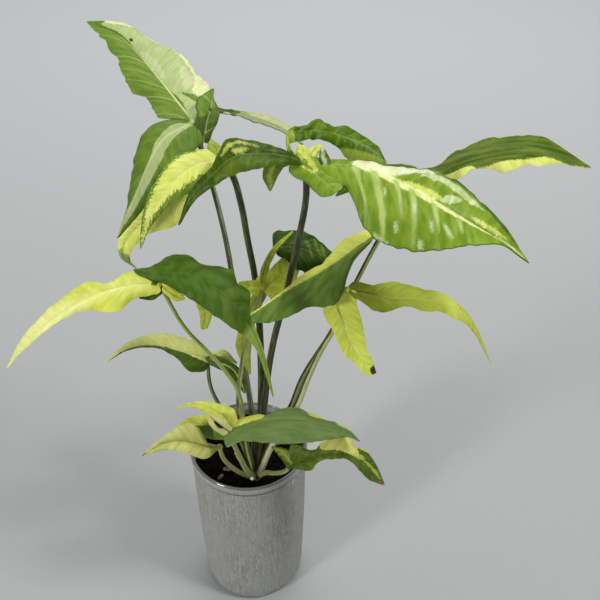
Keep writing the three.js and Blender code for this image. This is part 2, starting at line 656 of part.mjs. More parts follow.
// A split flake of bark lying flat on the soil
function barkChip({ x, y, size, turn }) {
  const [length, width, height] = size;
  const outline = new THREE.Shape([
    new THREE.Vector2(-length / 2, -width * 0.3), new THREE.Vector2(-length * 0.1, -width / 2),
    new THREE.Vector2(length / 2, -width * 0.2), new THREE.Vector2(length * 0.4, width * 0.35),
    new THREE.Vector2(-length * 0.2, width / 2),
  ]);
  const chip = new THREE.ExtrudeGeometry(outline, { depth: height, bevelEnabled: false });
  let highest = -Infinity;
  for (const [dx, dy] of [[0, 0], [length / 2, 0], [-length / 2, 0], [0, width / 2], [0, -width / 2]]) {
    highest = Math.max(highest, soilHeight(x + dx, y + dy));
  }
  return chip.rotateZ(turn).translate(x, y, highest + GAP);
}

const plant = new THREE.Group();
plant.add(namedMesh('pot', pot(), GLAZE_GREY, 0.6));
plant.add(namedMesh('soil', soil(), SOIL_BLACK, 1));
BARK_CHIPS.forEach((chip, index) => plant.add(namedMesh(`bark_chip_${index + 1}`, barkChip(chip), BARK_BROWN, 0.9)));
plant.add(namedMesh('stem_and_petioles', stem(), PETIOLE_GREEN, 0.5));
for (const [name, leaf] of Object.entries(LEAVES)) {
  plant.add(namedMesh(name, blade(leaf), leaf.colour, 0.35));
}

export default plant;
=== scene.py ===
import math

import bpy
import numpy as np
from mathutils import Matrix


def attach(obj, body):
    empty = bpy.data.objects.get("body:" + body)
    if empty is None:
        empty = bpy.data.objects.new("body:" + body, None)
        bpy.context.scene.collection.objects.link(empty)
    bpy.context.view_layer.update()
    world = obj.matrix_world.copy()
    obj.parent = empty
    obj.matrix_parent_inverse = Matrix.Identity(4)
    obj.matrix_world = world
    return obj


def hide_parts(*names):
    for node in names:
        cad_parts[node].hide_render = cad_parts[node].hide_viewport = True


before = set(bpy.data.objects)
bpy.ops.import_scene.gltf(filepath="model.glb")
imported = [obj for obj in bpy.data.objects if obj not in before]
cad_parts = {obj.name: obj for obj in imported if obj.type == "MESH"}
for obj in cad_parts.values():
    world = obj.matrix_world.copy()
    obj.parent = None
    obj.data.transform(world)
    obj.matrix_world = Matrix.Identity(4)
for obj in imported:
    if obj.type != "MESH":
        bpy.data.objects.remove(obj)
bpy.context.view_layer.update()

# An arrowhead vine with narrow variegated leaves, standing in a small round pot. The origin is
# the middle of the pot's underside, and lengths in the tables below are in millimetres.
MM = 0.001


# The view: a 50 mm lens in front of the plant, above it and looking down by 38 degrees, with the
# colours shown as they are.
CAMERA_PLACE = (0.0394, -0.4334, 0.6312)
CAMERA_TILT = 51.74
camera_data = bpy.data.cameras.new("camera")
camera_data.lens = 50
camera_data.sensor_width = 36
camera = bpy.data.objects.new("camera", camera_data)
camera.location = CAMERA_PLACE
camera.rotation_euler = (math.radians(CAMERA_TILT), 0, 0)
bpy.context.collection.objects.link(camera)
bpy.context.scene.camera = camera
bpy.context.scene.view_settings.view_transform = "Standard"


# Studio light: a wide soft lamp overhead, one lamp from the left front and one from the right,
# each with its own faint shadow on the floor, and a grey room all round.
ROOM_GREY = (0.93, 0.96, 1.0, 1)
ROOM_STRENGTH = 0.3


def soft_lamp(name, place, aim, size, watts):
    lamp = bpy.data.lights.new(name, "AREA")
    lamp.shape = "DISK"
    lamp.size = size
    lamp.energy = watts
    holder = bpy.data.objects.new(name, lamp)
    holder.location = place
    way = np.array(aim) - np.array(place)
    flat = math.hypot(way[0], way[1])
    holder.rotation_euler = (math.atan2(flat, -way[2]), 0, math.atan2(way[1], way[0]) - math.pi / 2)
    bpy.context.collection.objects.link(holder)


soft_lamp("lamp_overhead", place=(0.1, 1.0, 2.4), aim=(0, 0.4, 0.2), size=1.6, watts=26)
soft_lamp("lamp_left_front", place=(-1.3, -1.2, 1.0), aim=(0, 0, 0.2), size=0.35, watts=17)
soft_lamp("lamp_right", place=(0.85, -0.4, 1.6), aim=(0, 0, 0.2), size=0.3, watts=13)
room = bpy.data.worlds.new("room")
bpy.context.scene.world = room
room.use_nodes = True
room.node_tree.nodes["Background"].inputs["Color"].default_value = ROOM_GREY
room.node_tree.nodes["Background"].inputs["Strength"].default_value = ROOM_STRENGTH


# The floor: a wide sweep of pale grey studio card with a faint fibre in it. It belongs to the stage. Its
# colour is painted darker near the camera and paler towards the back: painted light, standing in for lamps
# that light the far floor more.
FLOOR_SIDE = 9.0
FLOOR_NEAR_PAINTED_SHADE = (0.355, 0.363, 0.358, 1)
FLOOR_FAR_PAINTED_LIGHT = (0.70, 0.71, 0.71, 1)
FLOOR_PAINTED_LIGHT_SPAN = (-0.2, 1.8)


def fill(tree, node, inputs):
    """Give each named input of a node another node's socket, or a plain value"""
    for name, value in inputs.items():
        if isinstance(value, bpy.types.NodeSocket):
            tree.links.new(value, node.inputs[name])
        else:
            node.inputs[name].default_value = value


def add_node(tree, kind, inputs=None, **settings):
    made = tree.nodes.new(kind)
    for name, value in settings.items():
        setattr(made, name, value)
    fill(tree, made, inputs or {})
    return made


def blended(tree, amount, first, second):
    colours = {0: amount, 6: first, 7: second}
    return add_node(tree, "ShaderNodeMix", colours, data_type="RGBA").outputs[2]


def eased(tree, value, low, high):
    limits = {"Value": value, "From Min": low, "From Max": high}
    return add_node(tree, "ShaderNodeMapRange", limits, interpolation_type="SMOOTHSTEP").outputs[0]


def mottle(tree, place, scale, detail=2.0):
    settings = {"Vector": place, "Scale": scale, "Detail": detail}
    return add_node(tree, "ShaderNodeTexNoise", settings).outputs[0]


def stretched(tree, place, scale):
    return add_node(tree, "ShaderNodeVectorMath", {0: place, 1: scale}, operation="MULTIPLY").outputs[0]


def scaled(tree, vector, scale):
    values = {0: vector, "Scale": scale}
    return add_node(tree, "ShaderNodeVectorMath", values, operation="SCALE").outputs[0]


def split(tree, vector):
    return add_node(tree, "ShaderNodeSeparateXYZ", {0: vector}).outputs


def new_material(name):
    made = bpy.data.materials.new(name)
    made.use_nodes = True
    tree = made.node_tree
    return made, tree, tree.nodes["Principled BSDF"]


def object_place(tree):
    return add_node(tree, "ShaderNodeTexCoord").outputs["Object"]


def relief(tree, height, distance, strength=1.0):
    settings = {"Height": height, "Distance": distance, "Strength": strength}
    return add_node(tree, "ShaderNodeBump", settings).outputs[0]


def new_object(name, mesh):
    made = bpy.data.objects.new(name, mesh)
    bpy.context.collection.objects.link(made)
    return made


floor_mesh = bpy.data.meshes.new("floor")
half = FLOOR_SIDE / 2
floor_corners = [(-half, -half, 0), (half, -half, 0), (half, half, 0), (-half, half, 0)]
floor_mesh.from_pydata(floor_corners, [], [(0, 1, 2, 3)])
floor = new_object("floor", floor_mesh)
card, tree, shader = new_material("grey_card")
place = object_place(tree)
fibre = mottle(tree, stretched(tree, place, (1.0, 4.0, 1.0)), 160.0, 3.0)
# Painted light: the card's grey runs from darker in front to paler at the back.
grey = blended(tree, eased(tree, split(tree, place)["Y"], *FLOOR_PAINTED_LIGHT_SPAN), FLOOR_NEAR_PAINTED_SHADE, FLOOR_FAR_PAINTED_LIGHT)
fill(tree, shader, {
    "Base Color": blended(tree, fibre, grey, scaled(tree, grey, 1.1)),
    "Normal": relief(tree, fibre, 0.0003, 0.2),
    "Roughness": 0.75,
})
floor_mesh.materials.append(card)


# The pot: turned from one grey clay body, matt and finely combed outside, with a groove under a smooth
# glazed lip that carries on down the inside. The groove is darkened with painted shade.
POT_AROUND = 160
POT_PROFILE = [
    (0, 0), (33.0, 0), (34.9, 0.2), (37.6, 1.6), (39.7, 5), (40.7, 11), (41.8, 42), (43, 80), (43.8, 137),
    (43.1, 139.8), (43.0, 141), (43.6, 142.2), (44.7, 143.4), (45, 146.6), (44.6, 148.9), (43.5, 150),
    (42.5, 149.4), (42.0, 147.6), (40.8, 137), (38.8, 42), (37.7, 14), (36.2, 8.5), (32.7, 6), (0, 6),
]
CORNER_CUT = 0.3
CLAY_GREY = (0.32, 0.325, 0.3, 1)
CLAY_PALE = (0.44, 0.44, 0.41, 1)
CLAY_DARK = (0.23, 0.225, 0.21, 1)
CLAY_GREENISH = (0.30, 0.33, 0.27, 1)
RIM_PALE = (0.42, 0.41, 0.39, 1)
GLAZE_GREY = (0.16, 0.17, 0.165, 1)
# A brown for the stain and the scratches, and for the painted shade in the groove.
STAIN_AND_GROOVE_SHADE_BROWN = (0.11, 0.085, 0.07, 1)
STAIN_PLACE = (-0.042, -0.018, 0.143)
STAIN_EDGE = (0.006, 0.009)
MATT = (0.7, 0.7, 0.7, 1)
GLOSSY = (0.16, 0.16, 0.16, 1)
WALL_MIDDLE_AT_FOOT = 0.0392
WALL_LEAN = 0.0165
INNER_FLOOR = (0.0059, 0.006)
GLAZE_STARTS = (0.1481, 0.1485)
LIP_STARTS = (0.1432, 0.1448)
GROOVE_HEIGHT = 0.1408
GROOVE_REACH = (0.0004, 0.0013)


def maths(tree, operation, *values):
    return add_node(tree, "ShaderNodeMath", dict(enumerate(values)), operation=operation).outputs[0]


def times(tree, first, second):
    return maths(tree, "MULTIPLY", first, second)


def plus(tree, first, second):
    return maths(tree, "ADD", first, second)


def minus(tree, first, second):
    return maths(tree, "SUBTRACT", first, second)


def closed_mesh(name, points, faces, smooth_angle=45):
    mesh = bpy.data.meshes.new(name)
    mesh.from_pydata(points, [], faces)
    mesh.validate()
    mesh.shade_smooth()
    mesh.set_sharp_from_angle(angle=math.radians(smooth_angle))
    return mesh


def ring_faces(low, around):
    """The faces between a ring of points, whose first has the number low, and the ring after it"""
    faces = []
    for side in range(around):
        after = (side + 1) % around
        faces.append((low + side, low + after, low + around + after, low + around + side))
    return faces


def turned(profile, around):
    """A closed form turned about the upright axis: points in metres, and faces"""
    points = []
    faces = []
    rings = profile[1:-1]
    for radius, z in rings:
        for side in range(around):
            angle = 2 * math.pi * side / around
            x = radius * math.cos(angle)
            y = radius * math.sin(angle)
            points.append((x * MM, y * MM, z * MM))
    for ring in range(len(rings) - 1):
        faces += ring_faces(ring * around, around)
    for ring, (radius, z), flip in ((0, profile[0], True), (len(rings) - 1, profile[-1], False)):
        middle = len(points)
        points.append((0, 0, z * MM))
        for side in range(around):
            edge = (ring * around + side, ring * around + (side + 1) % around)
            faces.append((middle, edge[1], edge[0]) if flip else (middle, edge[0], edge[1]))
    return points, faces


def rounded(profile, steps=5):
    """A profile with each corner eased: the corner is cut by a short curve"""
    eased_profile = [profile[0]]
    for before, corner, after in zip(profile, profile[1:], profile[2:]):
        start = np.array(corner) + CORNER_CUT * (np.array(before) - corner)
        end = np.array(corner) + CORNER_CUT * (np.array(after) - corner)
        for step in range(steps):
            u = step / (steps - 1)
            point = (1 - u) ** 2 * start + 2 * u * (1 - u) * np.array(corner) + u ** 2 * end
            eased_profile.append(tuple(point))
    return eased_profile + [profile[-1]]


pot_points, pot_faces = turned(rounded(POT_PROFILE), POT_AROUND)
pot = new_object("plant_pot", closed_mesh("plant_pot", pot_points, pot_faces))
clay, tree, shader = new_material("combed_clay")
place = object_place(tree)
axes = split(tree, place)
height = axes["Z"]
combed = mottle(tree, stretched(tree, place, (1.0, 1.0, 0.16)), 1200.0, 2.0)
grain = mottle(tree, place, 1900.0, 3.0)
rough_surface = plus(tree, times(tree, combed, 0.5), times(tree, grain, 0.5))
tone = blended(tree, eased(tree, rough_surface, 0.38, 0.62), CLAY_DARK, CLAY_PALE)
for upright, scale, detail, low, high, share, colour in (
    (0.09, 520.0, 2.0, 0.45, 0.6, 0.55, CLAY_DARK),  # strokes of the comb
    (0.4, 45.0, 4.0, 0.35, 0.65, 0.5, CLAY_GREY),  # clouds
    (1.0, 26.0, 2.0, 0.5, 0.7, 0.4, CLAY_GREENISH),  # a faint tint
    (0.3, 260.0, 1.0, 0.75, 0.79, 0.6, STAIN_AND_GROOVE_SHADE_BROWN),  # small scratches
):
    pattern = mottle(tree, stretched(tree, place, (1.0, 1.0, upright)), scale, detail)
    tone = blended(tree, times(tree, eased(tree, pattern, low, high), share), tone, colour)
beyond = add_node(tree, "ShaderNodeVectorMath", {0: place, 1: STAIN_PLACE}, operation="DISTANCE")
stained = plus(tree, beyond.outputs["Value"], times(tree, combed, 0.006))
tone = blended(tree, minus(tree, 1.0, eased(tree, stained, *STAIN_EDGE)), tone, STAIN_AND_GROOVE_SHADE_BROWN)
squares = plus(tree, maths(tree, "POWER", axes["X"], 2.0), maths(tree, "POWER", axes["Y"], 2.0))
reach = maths(tree, "SQRT", squares)
wall_middle = plus(tree, WALL_MIDDLE_AT_FOOT, times(tree, height, WALL_LEAN))
inside = maths(tree, "GREATER_THAN", wall_middle, reach)
inside = times(tree, inside, eased(tree, height, *INNER_FLOOR))
glazed = maths(tree, "MAXIMUM", inside, eased(tree, height, *GLAZE_STARTS))
outside = minus(tree, 1.0, glazed)
worn = eased(tree, plus(tree, height, times(tree, grain, 0.002)), *LIP_STARTS)
tone = blended(tree, times(tree, worn, times(tree, grain, 0.9)), tone, RIM_PALE)
# Painted shade: the groove under the lip is darkened with the stain brown.
from_groove = maths(tree, "ABSOLUTE", minus(tree, height, GROOVE_HEIGHT))
groove_shade = minus(tree, 1.0, eased(tree, from_groove, *GROOVE_REACH))
tone = blended(tree, times(tree, groove_shade, 0.75), tone, STAIN_AND_GROOVE_SHADE_BROWN)
fill(tree, shader, {
    "Base Color": blended(tree, glazed, tone, GLAZE_GREY),
    "Roughness": blended(tree, glazed, MATT, GLOSSY),
    "Normal": relief(tree, times(tree, rough_surface, outside), 0.0005, 0.6),
})
pot.data.materials.append(clay)
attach(pot, "root")
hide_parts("pot")


# The soil: dark peat that fills the pot to 10 mm below its lip, lumpy on top, with loose crumbs
# scattered over it by Geometry Nodes.
SOIL_TOP = 140
SOIL_RADIUS = 40.2
SOIL_AROUND = 120
SOIL_RINGS = 44
SOIL_UNDERSIDE = 6.3
SOIL_WALL = [(31.7, SOIL_UNDERSIDE), (37.0, 15), (38.1, 42), (40.2, 136)]
PEAT_DARK = (0.002, 0.0015, 0.001, 1)
PEAT_BROWN = (0.01, 0.0065, 0.004, 1)
CRUMBS_PER_SQUARE_METRE = 50000.0
SMALLEST_CRUMB = 0.3 * MM
LARGEST_CRUMB = 1.4 * MM


def soil_height(x, y):
    lumps = math.sin(x * 0.31 + 1.3) * math.cos(y * 0.27) + 0.6 * math.sin(x * 0.13 - y * 0.21 + 0.7)
    fine = math.sin(x * 1.9 + 2.0 * math.sin(y * 0.8)) * math.sin(y * 1.7 + 1.5 * math.sin(x * 1.1))
    return SOIL_TOP + 0.8 * lumps + 0.35 * fine


top_rings = [(SOIL_RADIUS * (1 - ring / SOIL_RINGS), SOIL_TOP) for ring in range(SOIL_RINGS)]
soil_profile = [(0, SOIL_UNDERSIDE)] + SOIL_WALL + top_rings + [(0, SOIL_TOP)]
soil_points, soil_faces = turned(soil_profile, SOIL_AROUND)
soil_points = [list(point) for point in soil_points]
for point in soil_points[len(SOIL_WALL) * SOIL_AROUND:-2] + soil_points[-1:]:
    point[2] = soil_height(point[0] / MM, point[1] / MM) * MM
soil = new_object("soil_fill", closed_mesh("soil_fill", soil_points, soil_faces, 60))
peat, tree, shader = new_material("peat")
clods = mottle(tree, object_place(tree), 380.0, 6.0)
fill(tree, shader, {
    "Base Color": blended(tree, eased(tree, clods, 0.4, 0.7), PEAT_DARK, PEAT_BROWN),
    "Normal": relief(tree, clods, 0.003),
    "Roughness": 0.95,
    "Specular IOR Level": 0.06,
})
soil.data.materials.append(peat)
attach(soil, "root")
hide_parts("soil")


def node_group(name, kind, sockets_in, sockets_out):
    """An empty node tree with named inputs and outputs, and the sockets that its nodes join to"""
    tree = bpy.data.node_groups.new(name, kind)
    for title, value_kind, value in sockets_in:
        socket = tree.interface.new_socket(title, in_out="INPUT", socket_type="NodeSocket" + value_kind)
        if value is not None:
            socket.default_value = value
    for title, value_kind in sockets_out:
        tree.interface.new_socket(title, in_out="OUTPUT", socket_type="NodeSocket" + value_kind)
    return tree, tree.nodes.new("NodeGroupInput").outputs, tree.nodes.new("NodeGroupOutput").inputs


def socket_named(tree, name):
    return next(item.identifier for item in tree.interface.items_tree if item.name == name)


def scatter_tree(name):
    """Small lumps strewn over whatever faces up, each with its own size and turn"""
    tree, given, result = node_group(name, "GeometryNodeTree", [
        ("Ground", "Geometry", None), ("Crumbs per square metre", "Float", CRUMBS_PER_SQUARE_METRE),
        ("Smallest", "Float", SMALLEST_CRUMB), ("Largest", "Float", LARGEST_CRUMB), ("Seed", "Int", 4),
        ("Material", "Material", None),
    ], [("Crumbs", "Geometry")])
    lift = split(tree, add_node(tree, "GeometryNodeInputNormal").outputs[0])["Z"]
    facing_up = add_node(tree, "FunctionNodeCompare", {0: lift, 1: 0.6}, operation="GREATER_THAN").outputs[0]
    spread = add_node(tree, "GeometryNodeDistributePointsOnFaces", {
        "Mesh": given["Ground"], "Density": given["Crumbs per square metre"],
        "Seed": given["Seed"], "Selection": facing_up,
    })
    crumb = add_node(tree, "GeometryNodeMeshIcoSphere", {"Radius": 1.0, "Subdivisions": 2}).outputs[0]
    bumpy = add_node(tree, "ShaderNodeTexNoise", {"Scale": 1.6, "Detail": 1.0}).outputs["Color"]
    centred = add_node(tree, "ShaderNodeVectorMath", {0: bumpy, 1: (0.5, 0.5, 0.5)}, operation="SUBTRACT")
    offset = scaled(tree, centred.outputs[0], 1.6)
    crumb = add_node(tree, "GeometryNodeSetPosition", {"Geometry": crumb, "Offset": offset}).outputs[0]
    size = add_node(tree, "FunctionNodeRandomValue", {
        2: given["Smallest"], 3: given["Largest"], "Seed": 7}, data_type="FLOAT").outputs[1]
    turn = add_node(tree, "FunctionNodeRandomValue", {
        0: (0, 0, 0), 1: (6.3, 6.3, 6.3), "Seed": 9}, data_type="FLOAT_VECTOR").outputs[0]
    placed = add_node(tree, "GeometryNodeInstanceOnPoints", {
        "Points": spread.outputs["Points"], "Instance": crumb, "Rotation": turn, "Scale": size}).outputs[0]
    solid = add_node(tree, "GeometryNodeRealizeInstances", {0: placed}).outputs[0]
    coloured = add_node(tree, "GeometryNodeSetMaterial", {
        "Geometry": solid, "Material": given["Material"]}).outputs[0]
    tree.links.new(coloured, result[0])
    return tree


def grown(name, start_mesh, tree, values):
    """The plain mesh that a Geometry Nodes tree makes from start_mesh"""
    seed_object = new_object(name, start_mesh)
    modifier = seed_object.modifiers.new("nodes", "NODES")
    modifier.node_group = tree
    for title, value in values.items():
        modifier[socket_named(tree, title)] = value
    depsgraph = bpy.context.evaluated_depsgraph_get()
    plain = bpy.data.meshes.new_from_object(seed_object.evaluated_get(depsgraph), depsgraph=depsgraph)
    seed_object.modifiers.remove(modifier)
    seed_object.data = plain
    return seed_object


crumbs = grown("soil_crumbs", soil.data.copy(), scatter_tree("crumb_scatter"), {"Material": peat})
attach(crumbs, "root")


# Bark chips: split flakes of pine bark lying loose on the soil, worn pale along their edges. Each
# is a closed sheet, domed on top and nearly flat below.
BARK_CHIPS = [
    dict(x=-14, y=-18, size=(9, 4, 2.2), turn=0.2),
    dict(x=-20, y=-26, size=(6, 3, 2), turn=1.1),
    dict(x=20, y=8, size=(7, 4, 2), turn=-0.5),
    dict(x=-8, y=14, size=(8, 3.5, 2.2), turn=2.2),
]
BARK_BROWN = (0.08, 0.045, 0.022, 1)
BARK_PALE = (0.34, 0.21, 0.11, 1)
CHIP_ROWS = 26
CHIP_COLUMNS = 14
CHIP_LIFT = 0.3


def two_faced(rows, columns):
    """The faces of a closed sheet: upper points, then lower points, each in rows from right to left"""
    def at(face, i, j):
        return face * rows * columns + i * columns + j

    faces = []
    for i in range(rows - 1):
        for j in range(columns - 1):
            faces.append((at(0, i, j), at(0, i + 1, j), at(0, i + 1, j + 1), at(0, i, j + 1)))
            faces.append((at(1, i, j), at(1, i, j + 1), at(1, i + 1, j + 1), at(1, i + 1, j)))
        last = columns - 1
        faces.append((at(0, i, 0), at(1, i, 0), at(1, i + 1, 0), at(0, i + 1, 0)))
        faces.append((at(0, i + 1, last), at(1, i + 1, last), at(1, i, last), at(0, i, last)))
    for j in range(columns - 1):
        last = rows - 1
        faces.append((at(0, 0, j + 1), at(1, 0, j + 1), at(1, 0, j), at(0, 0, j)))
        faces.append((at(0, last, j), at(1, last, j), at(1, last, j + 1), at(0, last, j + 1)))
    return faces


def bark_chip(number, x, y, size, turn):
    length, width, height = size
    chance = np.random.default_rng(number)
    phases = chance.uniform(0, 6.28, 8)
    lowest = max(soil_height(x + dx, y + dy) for dx, dy in (
        (0, 0), (length / 2, 0), (-length / 2, 0), (0, width / 2), (0, -width / 2))) + CHIP_LIFT
    points = []
    for face in (1, 0):
        for row in range(CHIP_ROWS):
            t = row / (CHIP_ROWS - 1)
            half = width / 2 * (0.35 + 0.65 * math.sin(math.pi * (0.12 + 0.76 * t)))
            half *= 1 + 0.08 * math.sin(9 * t + phases[0])
            for column in range(CHIP_COLUMNS):
                s = 2 * column / (CHIP_COLUMNS - 1) - 1
                layer = 0.16 * math.sin(3 * t + phases[1]) + 0.1 * math.sin(7 * s + 4 * t + phases[2])
                dome = (1 - 0.45 * abs(s) ** 3) * (0.75 + layer)
                flat_x = (t - 0.5) * length
                flat_y = s * half
                up = height * dome if face else 0.12 * height * abs(s) ** 2
                points.append((
                    (x + flat_x * math.cos(turn) - flat_y * math.sin(turn)) * MM,
                    (y + flat_x * math.sin(turn) + flat_y * math.cos(turn)) * MM,
                    (lowest + up) * MM,
                ))
    return closed_mesh(f"bark_chip_{number}", points, two_faced(CHIP_ROWS, CHIP_COLUMNS), 50)


bark, tree, shader = new_material("pine_bark")
plates = mottle(tree, stretched(tree, object_place(tree), (1.0, 0.4, 1.6)), 900.0, 5.0)
fill(tree, shader, {
    "Base Color": blended(tree, eased(tree, plates, 0.4, 0.66), BARK_BROWN, BARK_PALE),
    "Normal": relief(tree, plates, 0.0015),
    "Roughness": 0.85,
})
for number, chip in enumerate(BARK_CHIPS, 1):
    flake = new_object(f"bark_flake_{number}", bark_chip(number, **chip))
    flake.data.materials.append(bark)
    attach(flake, "root")
    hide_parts(f"bark_chip_{number}")


# The crown and the petioles: a short ringed stem in the soil, and from it one long juicy stalk to
# each leaf, glossy, with darker and paler lines running up it. The last two are the stubs of old
# leaves. Geometry Nodes sweep every stalk along its own route.
CROWN = dict(x=6, y=-24, low=116, top=148)
CROWN_AROUND = 48
CROWN_BROWN = (0.14, 0.06, 0.026, 1)
CROWN_GREEN = (0.16, 0.14, 0.05, 1)
STALK_SIDES = 20
STALK_STEP = 1.5 * MM
STALK_START = 10
BASE_SWELL = 0.5
STALK_LINE_PALE = (0.3, 0.34, 0.13, 1)
STALK_LINE_DARK = (0.012, 0.016, 0.004, 1)
PETIOLES = [
    dict(  # high left
        way=[(5, -14, 190), (1, 0, 222), (-6, 10, 308), (-10, 14, 339), (-16, 17, 372), (-24, 20, 408)],
        radius=1.7, colours=((0.11, 0.12, 0.06), (0.055, 0.068, 0.03)), stripe=(0.36, 0.38, 0.22),
        at=-40, wide=38,
    ),
    dict(  # yellow left
        way=[(11, -17, 190), (12, 0, 262), (10, 8, 298), (6, 8, 332), (3, 3, 364), (-1, -2, 386),
             (-6, -5, 397)],
        radius=2.0, colours=((0.035, 0.045, 0.012), (0.04, 0.07, 0.012)), stripe=(0.09, 0.13, 0.03),
        at=-120, wide=30,
    ),
    dict(  # high centre
        way=[(12, -21, 190), (20, -14, 255), (31, -12, 307), (39, -12, 349), (43, -16, 380), (42, -22, 404)],
        radius=2.0, colours=((0.07, 0.055, 0.022), (0.04, 0.045, 0.018)), stripe=(0.08, 0.085, 0.04),
        at=-150, wide=25,
    ),
    dict(  # high right
        way=[(20, -19, 182), (32, -14, 202), (41, -8, 226), (62, 2, 263), (78, 14, 296), (91, 22, 322),
             (115, 35, 366)],
        radius=1.6, colours=((0.3, 0.32, 0.12), (0.3, 0.36, 0.1)), stripe=(0.03, 0.04, 0.01),
        at=190, wide=62,
    ),
    dict(  # lime left
        way=[(1, -31, 185), (-2, -34, 238), (-8, -36, 256), (-18, -40, 278), (-31, -45, 304),
             (-42, -48, 339)],
        radius=1.2, colours=((0.05, 0.08, 0.015), (0.42, 0.52, 0.1)), stripe=(0.4, 0.48, 0.12),
        at=-100, wide=30,
    ),
    dict(  # mid right
        way=[(22, -24, 184), (36, -20, 208), (45, -16, 234), (53, -13, 255), (62, -12, 276), (66, -14, 295),
             (69, -18, 312)],
        radius=1.8, colours=((0.7, 0.7, 0.46), (0.5, 0.54, 0.16)), stripe=(0.05, 0.06, 0.02),
        at=-160, wide=42, swell=1.1,
    ),
    dict(  # mid centre
        way=[(0, -26, 185), (-3, -27, 216), (0, -26, 250), (4, -22, 270), (9, -13, 286), (15, -2, 301)],
        radius=1.4, colours=((0.06, 0.07, 0.02), (0.25, 0.3, 0.06)), stripe=(0.5, 0.51, 0.27),
        at=-40, wide=38,
    ),
    dict(  # low back left
        way=[(-5, -20, 178), (-18, -16, 208), (-23, -13, 222), (-24, -10, 246)],
        radius=1.3, colours=((0.06, 0.08, 0.02), (0.08, 0.12, 0.03)), stripe=(0.2, 0.22, 0.1),
        at=-90, wide=30,
    ),
    dict(  # low cream
        way=[(-4, -31, 152), (-11, -36, 166), (-15, -41, 181), (-16, -45, 196)],
        radius=1.5, colours=((0.6, 0.6, 0.27), (0.5, 0.54, 0.2)), stripe=(0.3, 0.34, 0.1),
        at=-90, wide=40,
    ),
    dict(  # low front
        way=[(1, -34, 158), (-3, -40, 180), (-6, -46, 200), (-8, -52, 219)],
        radius=1.7, colours=((0.6, 0.62, 0.34), (0.42, 0.48, 0.16)), stripe=(0.3, 0.34, 0.1),
        at=-90, wide=40,
    ),
    dict(  # low right
        way=[(14, -31, 152), (21, -38, 160), (28, -45, 170), (33, -50, 182)],
        radius=1.6, colours=((0.3, 0.32, 0.1), (0.2, 0.24, 0.06)), stripe=(0.4, 0.42, 0.16),
        at=-90, wide=30,
    ),
    dict(  # stub of a leaf that was cut off
        way=[(5, -29, 143), (4, -33, 148)],
        radius=1.3, colours=((0.5, 0.52, 0.2), (0.85, 0.85, 0.7)), stripe=(0.5, 0.52, 0.2),
        at=-90, wide=5,
    ),
    dict(  # stub of another, standing beside the crown
        way=[(0, -27, 152), (-5, -28, 164), (-7, -28, 171)],
        radius=1.2, colours=((0.55, 0.57, 0.24), (0.5, 0.53, 0.2)), stripe=(0.3, 0.3, 0.1),
        at=-90, wide=20,
    ),
]


def stalk_tree(name):
    """Round stalks along smooth curves through the points of a wire, as thick as each point says"""
    tree, given, result = node_group(name, "GeometryNodeTree", [
        ("Wire", "Geometry", None), ("Sides", "Int", STALK_SIDES), ("Step", "Float", STALK_STEP),
        ("Material", "Material", None),
    ], [("Stalks", "Geometry")])
    curve = add_node(tree, "GeometryNodeMeshToCurve", {"Mesh": given["Wire"]}).outputs[0]
    curve = add_node(tree, "GeometryNodeCurveSplineType", {"Curve": curve}, spline_type="BEZIER").outputs[0]
    curve = add_node(tree, "GeometryNodeCurveSetHandles", {"Curve": curve}, handle_type="AUTO").outputs[0]
    curve = add_node(tree, "GeometryNodeResampleCurve", {
        "Curve": curve, "Length": given["Step"]}, mode="LENGTH").outputs[0]
    way = add_node(tree, "GeometryNodeSplineParameter").outputs
    for title, value in (("run", way["Length"]), ("rise", way["Factor"])):
        curve = add_node(tree, "GeometryNodeStoreNamedAttribute", {
            "Geometry": curve, "Name": title, "Value": value}, data_type="FLOAT", domain="POINT").outputs[0]
    thick = add_node(tree, "GeometryNodeInputNamedAttribute", {"Name": "thick"},
                     data_type="FLOAT").outputs[0]
    ring = add_node(tree, "GeometryNodeCurvePrimitiveCircle", {
        "Resolution": given["Sides"], "Radius": 1.0}).outputs[0]
    tube = add_node(tree, "GeometryNodeCurveToMesh", {
        "Curve": curve, "Profile Curve": ring, "Scale": thick, "Fill Caps": True}).outputs[0]
    tube = add_node(tree, "GeometryNodeSetShadeSmooth", {"Geometry": tube}).outputs[0]
    outward = add_node(tree, "GeometryNodeInputNormal").outputs[0]
    tube = add_node(tree, "GeometryNodeStoreNamedAttribute", {
        "Geometry": tube, "Name": "side", "Value": outward}, data_type="FLOAT_VECTOR",
        domain="POINT").outputs[0]
    tube = add_node(tree, "GeometryNodeRealizeInstances", {0: tube}).outputs[0]
    tube = add_node(tree, "GeometryNodeSetMaterial", {
        "Geometry": tube, "Material": given["Material"]}).outputs[0]
    tree.links.new(tube, result[0])
    return tree


